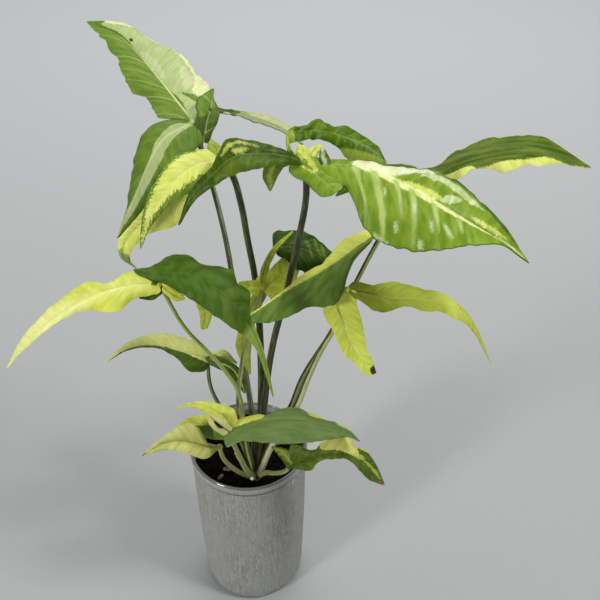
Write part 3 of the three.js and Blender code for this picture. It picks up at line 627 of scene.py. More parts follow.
def wire(name, stalks):
    """A mesh of edges along the stalks' routes, with thickness and colours stored at their points"""
    points, edges, thick, low, high, stripe, stripe_way = [], [], [], [], [], [], []
    for stalk in stalks:
        ends = stalk["way"]
        swell = stalk.get("swell", BASE_SWELL)
        turn = math.radians(stalk["at"])
        for index, point in enumerate(ends):
            rise = index / (len(ends) - 1)
            if index:
                edges.append((len(points) - 1, len(points)))
            points.append([value * MM for value in point])
            thick.append(stalk["radius"] * MM * (1 + swell * (1 - rise) ** 3))
            low.append(stalk["colours"][0] + (1,))
            high.append(stalk["colours"][1] + (1,))
            stripe.append(stalk["stripe"] + (1,))
            stripe_way.append((math.cos(turn), math.sin(turn), math.cos(math.radians(stalk["wide"]))))
    mesh = bpy.data.meshes.new(name)
    mesh.from_pydata(points, edges, [])
    mesh.attributes.new("thick", "FLOAT", "POINT").data.foreach_set("value", thick)
    for title, values in (("low_colour", low), ("high_colour", high), ("stripe_colour", stripe)):
        mesh.attributes.new(title, "FLOAT_COLOR", "POINT").data.foreach_set("color", np.ravel(values))
    mesh.attributes.new("stripe_way", "FLOAT_VECTOR", "POINT").data.foreach_set("vector",
                                                                                np.ravel(stripe_way))
    return mesh


def stored(tree, name, output="Fac"):
    return add_node(tree, "ShaderNodeAttribute", attribute_name=name).outputs[output]


stalk_skin, tree, shader = new_material("stalk_skin")
side = split(tree, stored(tree, "side", "Vector"))
body = blended(
    tree, stored(tree, "rise"), stored(tree, "low_colour", "Color"), stored(tree, "high_colour", "Color"))
stripe_way = split(tree, stored(tree, "stripe_way", "Vector"))
facing = plus(tree, times(tree, side["X"], stripe_way["X"]), times(tree, side["Y"], stripe_way["Y"]))
around = add_node(tree, "ShaderNodeCombineXYZ", {
    "X": times(tree, side["X"], 0.7), "Y": times(tree, side["Y"], 0.7),
    "Z": times(tree, stored(tree, "run"), 22.0)}).outputs[0]
lines = mottle(tree, around, 5.0, 3.0)
wander = times(tree, minus(tree, lines, 0.5), 0.5)
over = minus(tree, plus(tree, facing, wander), stripe_way["Z"])
striped = blended(tree, eased(tree, over, -0.06, 0.06), body, stored(tree, "stripe_colour", "Color"))
veined = blended(tree, times(tree, eased(tree, lines, 0.5, 0.66), 0.3), striped, STALK_LINE_PALE)
veined = blended(tree, times(tree, eased(tree, lines, 0.5, 0.3), 0.4), veined, STALK_LINE_DARK)
fill(tree, shader, {
    "Base Color": veined,
    "Normal": relief(tree, lines, 0.0004, 0.5),
    "Roughness": 0.3,
    "Specular IOR Level": 0.22,
    "Subsurface Weight": 0.1,
    "Subsurface Radius": (0.6, 1.0, 0.3),
    "Subsurface Scale": 0.001,
})
for petiole in PETIOLES:
    petiole["way"] = [(CROWN["x"], CROWN["y"], CROWN["top"] - STALK_START)] + petiole["way"]
stalk_nodes = stalk_tree("stalks_on_wires")
petioles = grown("petioles", wire("petiole_routes", PETIOLES), stalk_nodes, {"Material": stalk_skin})
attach(petioles, "root")
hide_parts("stem_and_petioles")

crown_profile = [
    (0, CROWN["low"]), (4.4, CROWN["low"]), (5.5, 120), (5.4, 128), (5.7, 131), (5.3, 134), (5.5, 139),
    (5.2, 142), (3.3, CROWN["top"]), (0, CROWN["top"]),
]
crown_points, crown_faces = turned(rounded(crown_profile), CROWN_AROUND)
crown_points = [(x + CROWN["x"] * MM, y + CROWN["y"] * MM, z) for x, y, z in crown_points]
crown = new_object("crown", closed_mesh("crown", crown_points, crown_faces))
crown_skin, tree, shader = new_material("crown_skin")
scars = mottle(tree, stretched(tree, object_place(tree), (1.0, 1.0, 3.0)), 320.0, 4.0)
fill(tree, shader, {
    "Base Color": blended(tree, eased(tree, scars, 0.4, 0.65), CROWN_BROWN, CROWN_GREEN),
    "Normal": relief(tree, scars, 0.001),
    "Roughness": 0.6,
})
crown.data.materials.append(crown_skin)
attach(crown, "root")


# The high left leaf: a broad half-and-half lobe, green on one side and silver grey with a cream
# margin on the other, a dark hanging lobe with a pale band, an upright ear and a twisted grey tail.
LEAF_ROWS = 72
HALF_ROW = np.array([0, 0.025, 0.06, 0.12, 0.2, 0.3, 0.4, 0.5, 0.6, 0.7, 0.79, 0.87, 0.94, 0.98, 1.0])
LEAF_HALF_THICK = 0.27
KEEL_ABOVE = 0.28
KEEL_BELOW = 0.75
KNUCKLE_RADIUS = 2.3
DEEP = 12.0
PAST_MARGIN = 3
PAST_TIP = 60
LEFT_VEINS_SHIFT = 0.35
VEIN_SWAY = 0.2
SWAY_PACE = 1.7
SWAY_START = 1.3
BACK_PALER = 0.3
PLAIN_FIELDS = ("across", "along", "rib", "underside", "painted_light_and_tone", "rib_show", "side_show")
# A lobe is drawn by its midrib, by how far its blade reaches to the right and left of it, and by how
# that reach swells and shrinks from base to tip. A marking's corners are shares of the way from base
# to tip and from midrib to margin, above 0 on the left side. What a lobe doesn't say is as here.
# The number that scales each lobe's colour is partly its own tone and partly painted light and painted
# shade: it brightens lobes that lie in shadow and darkens others.
PLAIN_LOBE = dict(
    tip=0.6, fine=1, round_base=0.05, round_tip=0.02, arch=0.12, ripple=0, waves=0, ruffle=0.25, ragged=0.01,
    quilt=0.12, keel=1.0, rib_width=0.8, painted_light_and_tone=1.0, rib_show=0.3, side_show=0.1, edge_mark=None,
    edge_width=1.0,
)


def bend(p0, p1, p2, p3, u):
    """The point at u, from 0 to 1, between p1 and p2 on the smooth curve through four points"""
    slope1 = (p2 - p0) / 2
    slope2 = (p3 - p1) / 2
    rise = p2 - p1
    return p1 + u * (slope1 + u * ((3 * rise - 2 * slope1 - slope2) + u * (slope1 + slope2 - 2 * rise)))


def smooth(points, t):
    """The points at t, from 0 to 1, on the smooth curve through a list of points"""
    points = np.array(points, float)
    padded = np.vstack([2 * points[0] - points[1], points, 2 * points[-1] - points[-2]])
    spans = len(points) - 1
    span = np.minimum((t * spans).astype(int), spans - 1)
    u = (t * spans - span)[..., None]
    return bend(padded[span], padded[span + 1], padded[span + 2], padded[span + 3], u)


def closed_curve(corners, steps=6):
    ring = [np.roll(corners, shift, axis=0) for shift in (1, 0, -1, -2)]
    parts = np.concatenate([bend(*ring, u)[None] for u in np.arange(steps) / steps])
    return parts.transpose(1, 0, 2).reshape(-1, 2)


def depth_inside(points, outline):
    """How far in mm each point lies inside a closed outline, less than 0 outside it"""
    edge = np.roll(outline, -1, axis=0) - outline
    edge[np.abs(edge) < 1e-6] = 1e-6
    away = points[:, None] - outline[None]
    share = np.clip((away * edge).sum(2) / (edge ** 2).sum(1), 0, 1)
    nearest = np.linalg.norm(away - share[..., None] * edge, axis=2).min(axis=1)
    ends = outline + edge
    height = points[:, 1:2]
    spans = (outline[:, 1] > height) != (ends[:, 1] > height)
    level = outline[:, 0] + (height - outline[:, 1]) * edge[:, 0] / edge[:, 1]
    inside = (spans & (points[:, 0:1] < level)).sum(axis=1) % 2 == 1
    return np.where(inside, nearest, -nearest)


def unit(vectors):
    return vectors / np.maximum(np.linalg.norm(vectors, axis=-1, keepdims=True), 1e-9)


def mark_depth(outlines, flat, sides, along_at):
    """How far in mm each point of a lobe lies inside a marking, which may cover it all"""
    depth = np.full(len(flat), DEEP if outlines == ["all"] else -DEEP)
    for outline in outlines if outlines != ["all"] else ():
        corners = np.array(outline, float)
        corner_t = np.clip(corners[:, 0], 0, 1)
        right_wide, left_wide = (np.linalg.norm(smooth(side, corner_t), axis=-1) for side in sides)
        wide = np.where(corners[:, 1] >= 0, left_wide, right_wide)
        outside = np.sign(corners[:, 1]) * (np.abs(corners[:, 1]) > 1)
        sideways = corners[:, 1] * wide + PAST_MARGIN * outside
        forward = along_at(corner_t) + (corners[:, 0] - corner_t) * PAST_TIP
        depth = np.maximum(depth, depth_inside(flat, closed_curve(np.stack([sideways, forward], axis=-1))))
    return depth


def lobe_sheet(lobe, marks, seed, slant, spacing):
    """One lobe as a closed sheet: points in mm, faces, and the values its colours are drawn from"""
    lobe = {**PLAIN_LOBE, **lobe}
    chance = np.random.default_rng(seed)
    sides = []
    for name in ("right", "left"):
        reach = np.array(lobe[name], float)
        sides.append(np.vstack([reach, unit(reach[-1]) * lobe["tip"]]))
    columns = (len(HALF_ROW) - 1) * lobe["fine"] + 1
    half_row = np.interp(np.linspace(0, 1, columns), np.linspace(0, 1, len(HALF_ROW)), HALF_ROW)
    s = np.concatenate([-half_row[:0:-1], half_row])
    q = np.abs(s)
    on_left = (s >= 0)[None, :]
    corner = 1 - np.sqrt(1 - np.minimum(q, 0.9999) ** 2)
    start = lobe["round_base"] * corner
    end = 1 - lobe["round_tip"] * corner
    t = start + (end - start) * np.linspace(0, 1, LEAF_ROWS * lobe["fine"])[:, None]
    rib = lobe["rib"]
    centre = smooth(rib, t)
    heading = unit(smooth(rib, np.minimum(t + 0.01, 1)) - smooth(rib, np.maximum(t - 0.01, 0)))
    reach = np.where(on_left[..., None], smooth(sides[1], t), smooth(sides[0], t))
    width = np.linalg.norm(reach, axis=-1)
    up = unit(np.cross(heading, reach)) * np.where(on_left, 1, -1)[..., None]
    fade = np.sin(np.pi * np.minimum(t * 1.1, 1))
    phase = np.where(on_left, np.pi / 2, 0)
    bulge = lobe["arch"] * width * 4 * q * (1 - q)
    bulge += lobe["ripple"] * fade * q ** 2 * np.sin(2 * np.pi * lobe["waves"] * t + phase)
    length_steps = np.linspace(0, 1, 200)
    spine = smooth(rib, length_steps)
    run = np.concatenate([[0], np.cumsum(np.linalg.norm(np.diff(spine, axis=0), axis=1))])
    along = np.interp(t, length_steps, run)
    for on_side, edge_name in ((on_left, "left_edge"), (~on_left, "right_edge")):
        if edge_name in lobe:
            places, shares = np.array(lobe[edge_name]).T
            fine_t = np.linspace(0, 1, 201)
            edge = np.convolve(np.pad(np.interp(fine_t, places, shares), 2, "edge"), np.ones(5) / 5, "valid")
            reach = np.where(on_side[..., None], reach * np.interp(t, fine_t, edge)[..., None], reach)
    width = np.linalg.norm(reach, axis=-1)
    across = s * width
    for frequency in (5, 8, 13):
        turn = np.where(on_left, chance.uniform(0, 6.28), chance.uniform(0, 6.28))
        bulge += lobe["ruffle"] * fade * q ** 3 * np.sin(frequency * along / 16 + turn)
        nick = np.where(on_left, chance.uniform(0, 6.28), chance.uniform(0, 6.28))
        reach = reach * (1 + lobe["ragged"] * np.sin(frequency * along / 14 + nick))[..., None]
    points = centre + reach * q[None, :, None] + up * bulge[..., None]
    order = (along - slant * np.abs(across) + LEFT_VEINS_SHIFT * spacing * on_left) / spacing
    order = order + VEIN_SWAY * np.sin(SWAY_PACE * order + SWAY_START)
    quilt = lobe["quilt"] * np.cos(2 * np.pi * order) * np.sin(np.pi * np.minimum(1.15 * q, 1)) * fade
    normal = unit(np.cross(np.gradient(points, axis=0), np.gradient(points, axis=1)))
    keel = np.exp(-(across / 0.8) ** 2) * (1 - t) ** 0.4 * lobe["keel"]
    half = LEAF_HALF_THICK * (1 - 0.5 * q ** 6)
    upper = points + normal * (half + quilt - KEEL_ABOVE * keel)[..., None]
    lower = points - normal * (half - quilt + KEEL_BELOW * keel)[..., None]
    right_show = lobe.get("right_show", lobe["side_show"])
    fields = {
        "across": across * MM,
        "along": along * MM,
        "rib": np.abs(across) / (lobe["rib_width"] * (1 - 0.75 * t)),
        "painted_light_and_tone": np.full_like(t, lobe["painted_light_and_tone"]),
        "rib_show": np.full_like(t, lobe["rib_show"]),
        "side_show": np.where(on_left, lobe["side_show"], right_show) + 0 * t,
    }
    flat = np.stack([across, along], axis=-1).reshape(-1, 2)
    for name in marks:
        depth = mark_depth(lobe.get(name, []), flat, sides, lambda at: np.interp(at, length_steps, run))
        if name == lobe["edge_mark"]:
            depth = np.maximum(depth, (lobe["edge_width"] - (1 - q) * width).ravel())
        fields[name] = depth
    values = {name: np.tile(np.ravel(value), 2) for name, value in fields.items()}
    values["underside"] = np.repeat([0.0, 1.0], t.size)
    corners = np.concatenate([upper.reshape(-1, 3), lower.reshape(-1, 3)])
    return corners, two_faced(*t.shape), values


def knuckle(place, values_like, joint):
    """The round joint where a petiole meets its lobes"""
    rings, around = 12, 18
    points = [(0, 0, -1)]
    for ring in range(1, rings):
        angle = math.pi * ring / rings
        for side in range(around):
            turn = 2 * math.pi * side / around
            flat = math.sin(angle)
            points.append((flat * math.cos(turn), flat * math.sin(turn), -math.cos(angle)))
    points.append((0, 0, 1))
    last = len(points) - 1
    faces = [(0, 1 + (side + 1) % around, 1 + side) for side in range(around)]
    for ring in range(rings - 2):
        faces += ring_faces(1 + ring * around, around)
    top = 1 + (rings - 2) * around
    faces += [(last, top + side, top + (side + 1) % around) for side in range(around)]
    values = {name: np.zeros(len(points)) for name in values_like}
    for name in values_like:
        if name not in PLAIN_FIELDS:
            values[name] += DEEP if name == joint else -DEEP
    values["painted_light_and_tone"] += 1
    values["rib"] += 5
    return np.array(points) * KNUCKLE_RADIUS * (1, 1, 0.8) + place, faces, values


def leaf(name, junction, lobes, skin, slot, marks, slant, spacing, joint=None):
    """A whole leaf: its lobes and the joint they grow from as one mesh, dressed and joined to the plant"""
    parts = [lobe_sheet(lobe, marks, 100 * len(name) + index, slant, spacing) for index,
             lobe in enumerate(lobes)]
    parts.append(knuckle(np.array(junction), parts[0][2], joint))
    points, faces, values = [], [], {field: [] for field in parts[0][2]}
    for part_points, part_faces, part_values in parts:
        shift = len(points)
        points.extend(part_points * MM)
        faces.extend([tuple(corner + shift for corner in face) for face in part_faces])
        for field, numbers in part_values.items():
            values[field].extend(numbers)
    mesh = closed_mesh(name, [tuple(point) for point in points], faces, 60)
    for field, numbers in values.items():
        mesh.attributes.new(field, "FLOAT", "POINT").data.foreach_set("value", numbers)
    mesh.materials.append(skin)
    blade = new_object(name.replace("leaf", "blade"), mesh)
    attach(blade, "root")
    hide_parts(name)


def use_group(tree, group, values):
    made = tree.nodes.new("ShaderNodeGroup")
    made.node_tree = group
    fill(tree, made, values)
    return made.outputs


def side_vein_group():
    """Where a point lies among the side veins: how far along its vein's root, and how far out on it"""
    tree, given, result = node_group("leaf_side_veins", "ShaderNodeTree", [
        ("Across", "Float", 0.0), ("Along", "Float", 0.0), ("Slant", "Float", 0.6),
        ("Spacing", "Float", 0.009), ("Width", "Float", 0.0007),
    ], [("Vein Place", "Vector"), ("Vein", "Float"), ("Net", "Float")])
    out = maths(tree, "ABSOLUTE", given["Across"])
    left = maths(tree, "GREATER_THAN", given["Across"], 0.0)
    root = minus(tree, given["Along"], times(tree, given["Slant"], out))
    vein_place = add_node(tree, "ShaderNodeCombineXYZ", {
        "X": root, "Y": out, "Z": times(tree, left, 0.05)}).outputs[0]
    order = plus(tree, maths(tree, "DIVIDE", root, given["Spacing"]), times(tree, left, LEFT_VEINS_SHIFT))
    sway = maths(tree, "SINE", plus(tree, times(tree, order, SWAY_PACE), SWAY_START))
    order = plus(tree, order, times(tree, sway, VEIN_SWAY))
    from_vein = maths(tree, "ABSOLUTE", minus(tree, maths(tree, "FRACT", order), 0.5))
    from_vein = times(tree, from_vein, given["Spacing"])
    wide = times(tree, given["Width"], minus(tree, 1.25, times(tree, out, 40.0)))
    edge = maths(tree, "DIVIDE", from_vein, maths(tree, "MAXIMUM", wide, 0.0002))
    cells = add_node(tree, "ShaderNodeTexVoronoi", {
        "Vector": vein_place, "Scale": 420.0}, feature="DISTANCE_TO_EDGE").outputs["Distance"]
    tree.links.new(vein_place, result["Vein Place"])
    tree.links.new(minus(tree, 1.0, eased(tree, edge, 0.3, 1.0)), result["Vein"])
    tree.links.new(minus(tree, 1.0, eased(tree, cells, 0.0, 0.16)), result["Net"])
    return tree


def marking_group():
    """One coloured marking over what lies under it, with a border that wanders and breaks into flecks"""
    tree, given, result = node_group("leaf_marking", "ShaderNodeTree", [
        ("Below", "Color", None), ("First", "Color", None), ("Second", "Color", None),
        ("Depth", "Float", 0.0), ("Vein Place", "Vector", None),
        ("Wander", "Float", 0.8), ("Flecks", "Float", 0.2), ("Soft", "Float", 0.25),
    ], [("Colour", "Color")])
    streaks = mottle(tree, stretched(tree, given["Vein Place"], (1.0, 0.35, 1.0)), 330.0, 3.0)
    fine = mottle(tree, given["Vein Place"], 950.0, 2.0)
    wander = times(tree, minus(tree, streaks, 0.5), times(tree, given["Wander"], 4.0))
    flecks = times(tree, minus(tree, fine, 0.5), times(tree, given["Flecks"], 8.0))
    depth = plus(tree, plus(tree, given["Depth"], wander), flecks)
    cover = eased(tree, depth, times(tree, given["Soft"], -1.0), given["Soft"])
    tone = blended(tree, eased(tree, streaks, 0.35, 0.65), given["First"], given["Second"])
    tree.links.new(blended(tree, cover, given["Below"], tone), result["Colour"])
    return tree


SIDE_VEINS = side_vein_group()
MARKING = marking_group()


def leaf_skin(name, ground, marks, rib, veins, slant, spacing, gloss=0.36, vein_width=0.7,
              cloudy=(1.0, 0.4, 1.0)):
    """A leaf's skin: a mottled ground colour, its markings in order, pale veins, a duller back, and painted
    light and shade per lobe
    """
    made, tree, shader = new_material(name)
    found = use_group(tree, SIDE_VEINS, {
        "Across": stored(tree, "across"), "Along": stored(tree, "along"), "Slant": slant,
        "Spacing": spacing * MM, "Width": vein_width * MM})
    vein_place = found["Vein Place"]
    side_show = stored(tree, "side_show")
    cloud = mottle(tree, stretched(tree, vein_place, cloudy), 240.0, 4.0)
    tone = blended(tree, eased(tree, cloud, 0.35, 0.65), ground[0] + (1,), ground[1] + (1,))
    for mark, (first, second, wander, flecks, *soft) in marks.items():
        tone = use_group(tree, MARKING, {
            "Below": tone, "First": first + (1,), "Second": second + (1,), "Depth": stored(tree, mark),
            "Vein Place": vein_place, "Wander": wander, "Flecks": flecks,
            "Soft": soft[0] if soft else 0.25})["Colour"]
    fine = mottle(tree, vein_place, 2600.0, 2.0)
    tone = blended(tree, times(tree, found["Vein"], side_show), tone, veins + (1,))
    tone = blended(tree, times(tree, found["Net"], times(tree, side_show, 0.15)), tone, veins + (1,))
    rib_cover = minus(tree, 1.0, eased(tree, stored(tree, "rib"), 0.6, 1.1))
    tone = blended(tree, times(tree, rib_cover, stored(tree, "rib_show")), tone, rib + (1,))
    dulled = {"Saturation": 0.8, "Value": 1.15, "Color": tone}
    grey = add_node(tree, "ShaderNodeHueSaturation", dulled).outputs[0]
    tone = blended(tree, times(tree, stored(tree, "underside"), BACK_PALER), tone, grey)
    # Each lobe's colour is scaled by a fine mottle and by its own number, which is partly painted light and
    # painted shade.
    lit = times(tree, plus(tree, 0.9, times(tree, fine, 0.2)), stored(tree, "painted_light_and_tone"))
    height = minus(tree, fine, times(tree, found["Net"], 0.6))
    height = minus(tree, height, times(tree, found["Vein"], 1.2))
    fill(tree, shader, {
        "Base Color": scaled(tree, tone, lit),
        "Normal": relief(tree, height, 0.0001, 0.6),
        "Roughness": plus(tree, gloss - 0.06, times(tree, cloud, 0.12)),
        "Specular IOR Level": 0.11,
        "Subsurface Weight": 0.15,
        "Subsurface Radius": (0.5, 1.0, 0.2),
        "Subsurface Scale": 0.0012,
    })
    return made


high_left_marks = {
    "dark": ((0.06, 0.11, 0.015), (0.09, 0.15, 0.02), 0.5, 0.1),
    "grey": ((0.37, 0.45, 0.17), (0.45, 0.52, 0.23), 0.35, 0.12),
    "pale": ((0.46, 0.53, 0.26), (0.53, 0.59, 0.31), 1.0, 0.3, 1.0),
    "cream": ((0.74, 0.76, 0.4), (0.64, 0.67, 0.32), 1.0, 0.25),
    "green": ((0.16, 0.25, 0.03), (0.12, 0.2, 0.02), 0.3, 0.05),
    # The near-black spot colour also paints a thin line of shade along the twisted tail's edges.
    "spot": ((0.03, 0.05, 0.01), (0.05, 0.07, 0.02), 0.1, 0.1),
}
high_left_rows = dict(slant=0.7, spacing=19)
high_left_skin = leaf_skin(
    "high_left_skin", ((0.1, 0.19, 0.014), (0.155, 0.25, 0.028)), high_left_marks,
    rib=(0.62, 0.66, 0.3), veins=(0.5, 0.56, 0.2), **high_left_rows, vein_width=0.8)
high_left_lobes = [
    dict(
        rib=[(-24, 20, 408), (-38, 48, 410), (-52, 74, 413), (-67, 98, 418), (-84, 118, 424),
             (-109, 142, 424)],
        left=[(-17, -3, 1), (-17.5, 4, -3.5), (-21, 2, -2), (-18, 3, 0), (-12.5, 3, 0)],
        right=[(8, 10, 2), (19, 14, 3), (20, 11, 5), (15, 8, 6), (9, 5, 5)],
        left_edge=[(0, 1.06), (0.1, 1.06), (0.17, 1), (0.24, 0.92), (0.28, 1.24), (0.32, 1.16), (0.38, 1.03),
                   (0.46, 1), (0.53, 0.92), (0.58, 0.86), (0.62, 1.04), (0.68, 1), (0.72, 0.93),
                   (0.74, 1.12), (0.78, 1.05), (0.8, 1.2), (0.9, 1.2), (1, 1)],
        right_edge=[(0, 1), (0.2, 1.04), (0.3, 0.92), (0.36, 0.94), (0.43, 1), (0.52, 0.92), (0.58, 0.82),
                    (0.73, 0.82), (0.8, 0.92), (0.87, 1.05), (0.93, 1.3), (1, 1.3)],
        waves=2.5, ripple=1.4,
        grey=[[(0, -0.05), (0.16, -0.1), (0.32, 0), (0.52, 0), (0.66, -0.05), (0.78, -0.15), (0.92, -0.45),
               (0.84, -1.1), (0.64, -1.2), (0.4, -1.2), (0.2, -1.2), (0.04, -0.9)]],
        cream=[[(0.1, -1.2), (0.12, -0.65), (0.17, -0.5), (0.24, -0.7), (0.36, -0.85), (0.5, -0.92),
                (0.62, -0.78), (0.75, -0.85), (0.88, -0.6), (0.93, -1.2), (0.6, -1.3), (0.3, -1.3)]],
        pale=[[(0.6, -0.08), (0.54, -0.24), (0.44, -0.26), (0.36, -0.12), (0.42, -0.04), (0.52, -0.03)],
              [(0.2, -0.35), (0.28, -0.45), (0.4, -0.7), (0.3, -0.8), (0.2, -0.6)]],
        fine=2,
        green=[[(0.21, -0.2), (0.15, -0.3), (0.08, -0.55), (0.11, -0.62), (0.17, -0.36)]],
        spot=[[(0.69, -0.2), (0.7, -0.13), (0.715, -0.18), (0.71, -0.27), (0.695, -0.26)]],
        rib_show=1.0, rib_width=0.9, side_show=0.6, right_show=0.05,
    ),
    dict(
        rib=[(-24, 20, 408), (-39, 6, 405), (-48, -7, 395), (-58, -17, 375), (-69, -23, 354)],
        left=[(8, -8, -9), (12, -8, -8), (9, -6, -7), (5, -3, -4)],
        right=[(-5, 2, 2), (-12, 6, 1), (-10, 7, -3.5), (-4.5, 4, -2)],
        right_edge=[(0, 1.25), (0.1, 1.25), (0.2, 1.1), (0.26, 1), (0.44, 1.1), (0.56, 0.92), (0.7, 0.9),
                    (0.8, 0.76), (1, 0.5)],
        waves=2, ripple=0.8,
        grey=[[(0.02, 0.1), (0.1, -0.45), (0.22, -0.25), (0.36, -0.15), (0.52, 0), (0.68, -0.05),
               (0.84, -0.4), (1.05, -0.3), (0.95, 0.2), (0.84, 0.4), (0.7, 0.5), (0.5, 0.5), (0.32, 0.35),
               (0.16, 0.2), (0.06, 0.15)]],
        rib_show=0.7, rib_width=1.1, painted_light_and_tone=0.85, edge_mark="dark", edge_width=0.7,
    ),
    dict(
        rib=[(-18, 14, 398), (-16, 19, 408), (-13.5, 28, 414.5), (-13, 42, 419)],
        left=[(-4, -1, 2), (-7, -2, 2), (-8, -2, 3), (-5, -1, 2)],
        right=[(5, 0, -4), (8, 2, -2), (6, 2, -1), (1, 1, 0)],
        left_edge=[(0, 0.8), (0.36, 0.78), (0.49, 0.82), (0.57, 1.1), (0.75, 1.6), (1, 1.6)],
        right_edge=[(0, 0.5), (0.19, 0.56), (0.35, 0.8), (0.54, 1.06), (0.71, 1.5), (0.9, 1)],
        arch=0.1, keel=0.3,
        dark=[[(-0.1, -1.3), (0.5, -1.3), (0.62, -0.3), (0.45, 0.2), (0.3, 1.3), (-0.1, 1.3)]],
        rib_show=0.4, side_show=0.3, edge_mark="dark", edge_width=1.1, painted_light_and_tone=0.95,
    ),
    dict(
        rib=[(-15, 26, 415), (-10, 44, 404), (0, 56, 396), (15, 58, 391), (30, 50, 388), (42, 38, 383)],
        left=[(-1, 4, 1), (-1, 2, 1), (0, 6, -1), (2, 11, -2), (3, 6, -1)],
        right=[(1, -4, -2), (0, -2, -1), (-1, -7, 2), (-2, -9, 2), (-2, -5, 1)],
        grey=[[(0.4, -1.2), (0.42, 0), (0.38, 1.2), (0.7, 1.3), (1.1, 1.2), (1.1, -1.2), (0.7, -1.3)]],
        cream=[[(0.44, 1.3), (0.48, 0.3), (0.56, -0.15), (0.66, -0.3), (0.78, -0.25), (0.88, 0), (0.94, 1.2),
                (0.7, 1.4)],
               [(0.22, -1.3), (0.24, -0.7), (0.32, -0.6), (0.37, -1.3)]],
        dark=[[(-0.1, -1.2), (0.3, -1.2), (0.3, 1.2), (-0.1, 1.2)]], rib_show=0.2, side_show=0.05, painted_light_and_tone=0.7,
        # Painted shade: a thin near-black line along the tail's edges.
        edge_mark="spot", edge_width=0.35,
    ),
]
leaf(
    "leaf_high_left", (-24, 20, 408), high_left_lobes, high_left_skin, "leaf_green", high_left_marks,
    **high_left_rows, joint="grey")


# The yellow leaf beside it: a yellow hanging lobe freckled and edged with dark green, and behind it
# a long lime lobe whose grey-green end curls under like a hook.
yellow_left_marks = {
    "grey": ((0.2, 0.26, 0.07), (0.24, 0.3, 0.09), 0.4, 0.1, 1.5),
    "yellow": ((0.54, 0.6, 0.1), (0.66, 0.7, 0.18), 0.7, 1.2, 0.7),
    "olive": ((0.24, 0.3, 0.03), (0.34, 0.4, 0.06), 0.5, 0.3),
}
yellow_left_rows = dict(slant=0.7, spacing=8)
yellow_left_skin = leaf_skin(
    "yellow_left_skin", ((0.1, 0.18, 0.012), (0.14, 0.23, 0.02)), yellow_left_marks,
    rib=(0.7, 0.74, 0.28), veins=(0.8, 0.82, 0.38), **yellow_left_rows, cloudy=(0.7, 0.7, 1.0))
yellow_left_lobes = [
    dict(
        rib=[(-6, -5, 397), (-20, -16, 399), (-30, -26, 395), (-38, -34, 387), (-45, -40, 377),
             (-51, -44, 361)],
        left=[(3, -4, -2), (5, -10, -6), (4, -9, -7), (3, -5, -5), (2, -2, -3)],
        right=[(-4, 4, 3), (-11, 5, 4), (-10, 5, 2), (-7, 4, 0), (-4, 2, 0)],
        left_edge=[(0, 1), (0.3, 0.95), (0.47, 0.78), (0.79, 0.72), (0.9, 0.5), (1, 0.6)],
        right_edge=[(0, 1.3), (0.11, 1.15), (0.18, 0.96), (0.48, 0.98), (0.6, 1.14), (0.84, 1.1), (1, 1)],
        waves=2, ripple=0.8,
        yellow=[[(0, -1.1), (0.14, -0.8), (0.3, -0.75), (0.5, -0.78), (0.7, -0.75), (0.85, -0.6),
                 (0.95, -0.2), (0.88, 0.1), (0.75, 0.22), (0.6, 0.32), (0.45, 0.46), (0.3, 0.6),
                 (0.16, 0.68), (0.04, 0.7), (0, 0.2)]],
        rib_show=0.5, rib_width=1.6, side_show=0.03, quilt=0.03, fine=2,
    ),
    dict(
        rib=[(-6, -3, 396), (-27, 2, 374), (-43, 0, 360), (-58, -3, 351), (-68, -8, 341), (-69, -12, 332),
             (-62, -16, 327)],
        left=[(2, -1, -2), (3, -4, -7), (7, -5, -8), (4, -4, -5), (4, -3, -4), (3, 0, -2)],
        right=[(-4, 2, 4), (-6, 4, 6), (-7, 4, 5), (-5, 3, 4), (-4, 2, 2), (-3, 0, 1)],
        yellow=[[(-0.1, -1.2), (-0.1, 1.2), (0.35, 1.3), (0.7, 1.2), (0.76, 0), (0.7, -1.2), (0.35, -1.3)]],
        grey=[[(0.7, -1.3), (0.76, 0), (0.7, 1.3), (1.1, 1.3), (1.1, -1.3)]], side_show=0.04, painted_light_and_tone=1.3,
        quilt=0.04,
    ),
    dict(
        rib=[(-6, -5, 397), (-10, 0, 402), (-12, 4, 405)],
        left=[(-3, -1, 0), (-4, -1, 0)],
        right=[(3, 2, -1), (4, 2, -2)],
        arch=0.3,
        olive=["all"], rib_show=0.2,
    ),
]
leaf(
    "leaf_yellow_left", (-6, -5, 397), yellow_left_lobes, yellow_left_skin, "leaf_lime", yellow_left_marks,
    **yellow_left_rows)


# The large leaf at the top: a broad front lobe with a thick cream midrib and pale steep side veins,
# a glossy quilted lobe curling over behind, a dark lobe reaching left, and crinkled ears between.
high_centre_marks = {
    "dark": ((0.04, 0.095, 0.002), (0.08, 0.145, 0.005), 0.5, 0.15),
    "mid": ((0.09, 0.16, 0.007), (0.13, 0.21, 0.014), 0.6, 0.1, 1.5),
    "olive": ((0.2, 0.28, 0.03), (0.26, 0.34, 0.05), 0.5, 0.2, 1.0),
    "yellow": ((0.46, 0.53, 0.07), (0.6, 0.64, 0.15), 0.8, 0.55, 0.8),
    "grey": ((0.4, 0.49, 0.2), (0.6, 0.66, 0.36), 0.8, 0.35, 0.7),
    "cream": ((0.66, 0.7, 0.38), (0.8, 0.81, 0.54), 0.7, 0.2, 1.5),
    "midrib": ((0.62, 0.67, 0.2), (0.78, 0.8, 0.42), 0.3, 0.1, 0.7),
    "vein": ((0.32, 0.42, 0.09), (0.44, 0.53, 0.16), 0.2, 0.15, 1.0),
    # Painted highlights: small pale glints on the front lobe.
    "painted_glint": ((0.4, 0.49, 0.2), (0.55, 0.62, 0.36), 0.3, 0.4, 1.0),
}
high_centre_rows = dict(slant=0.25, spacing=10)
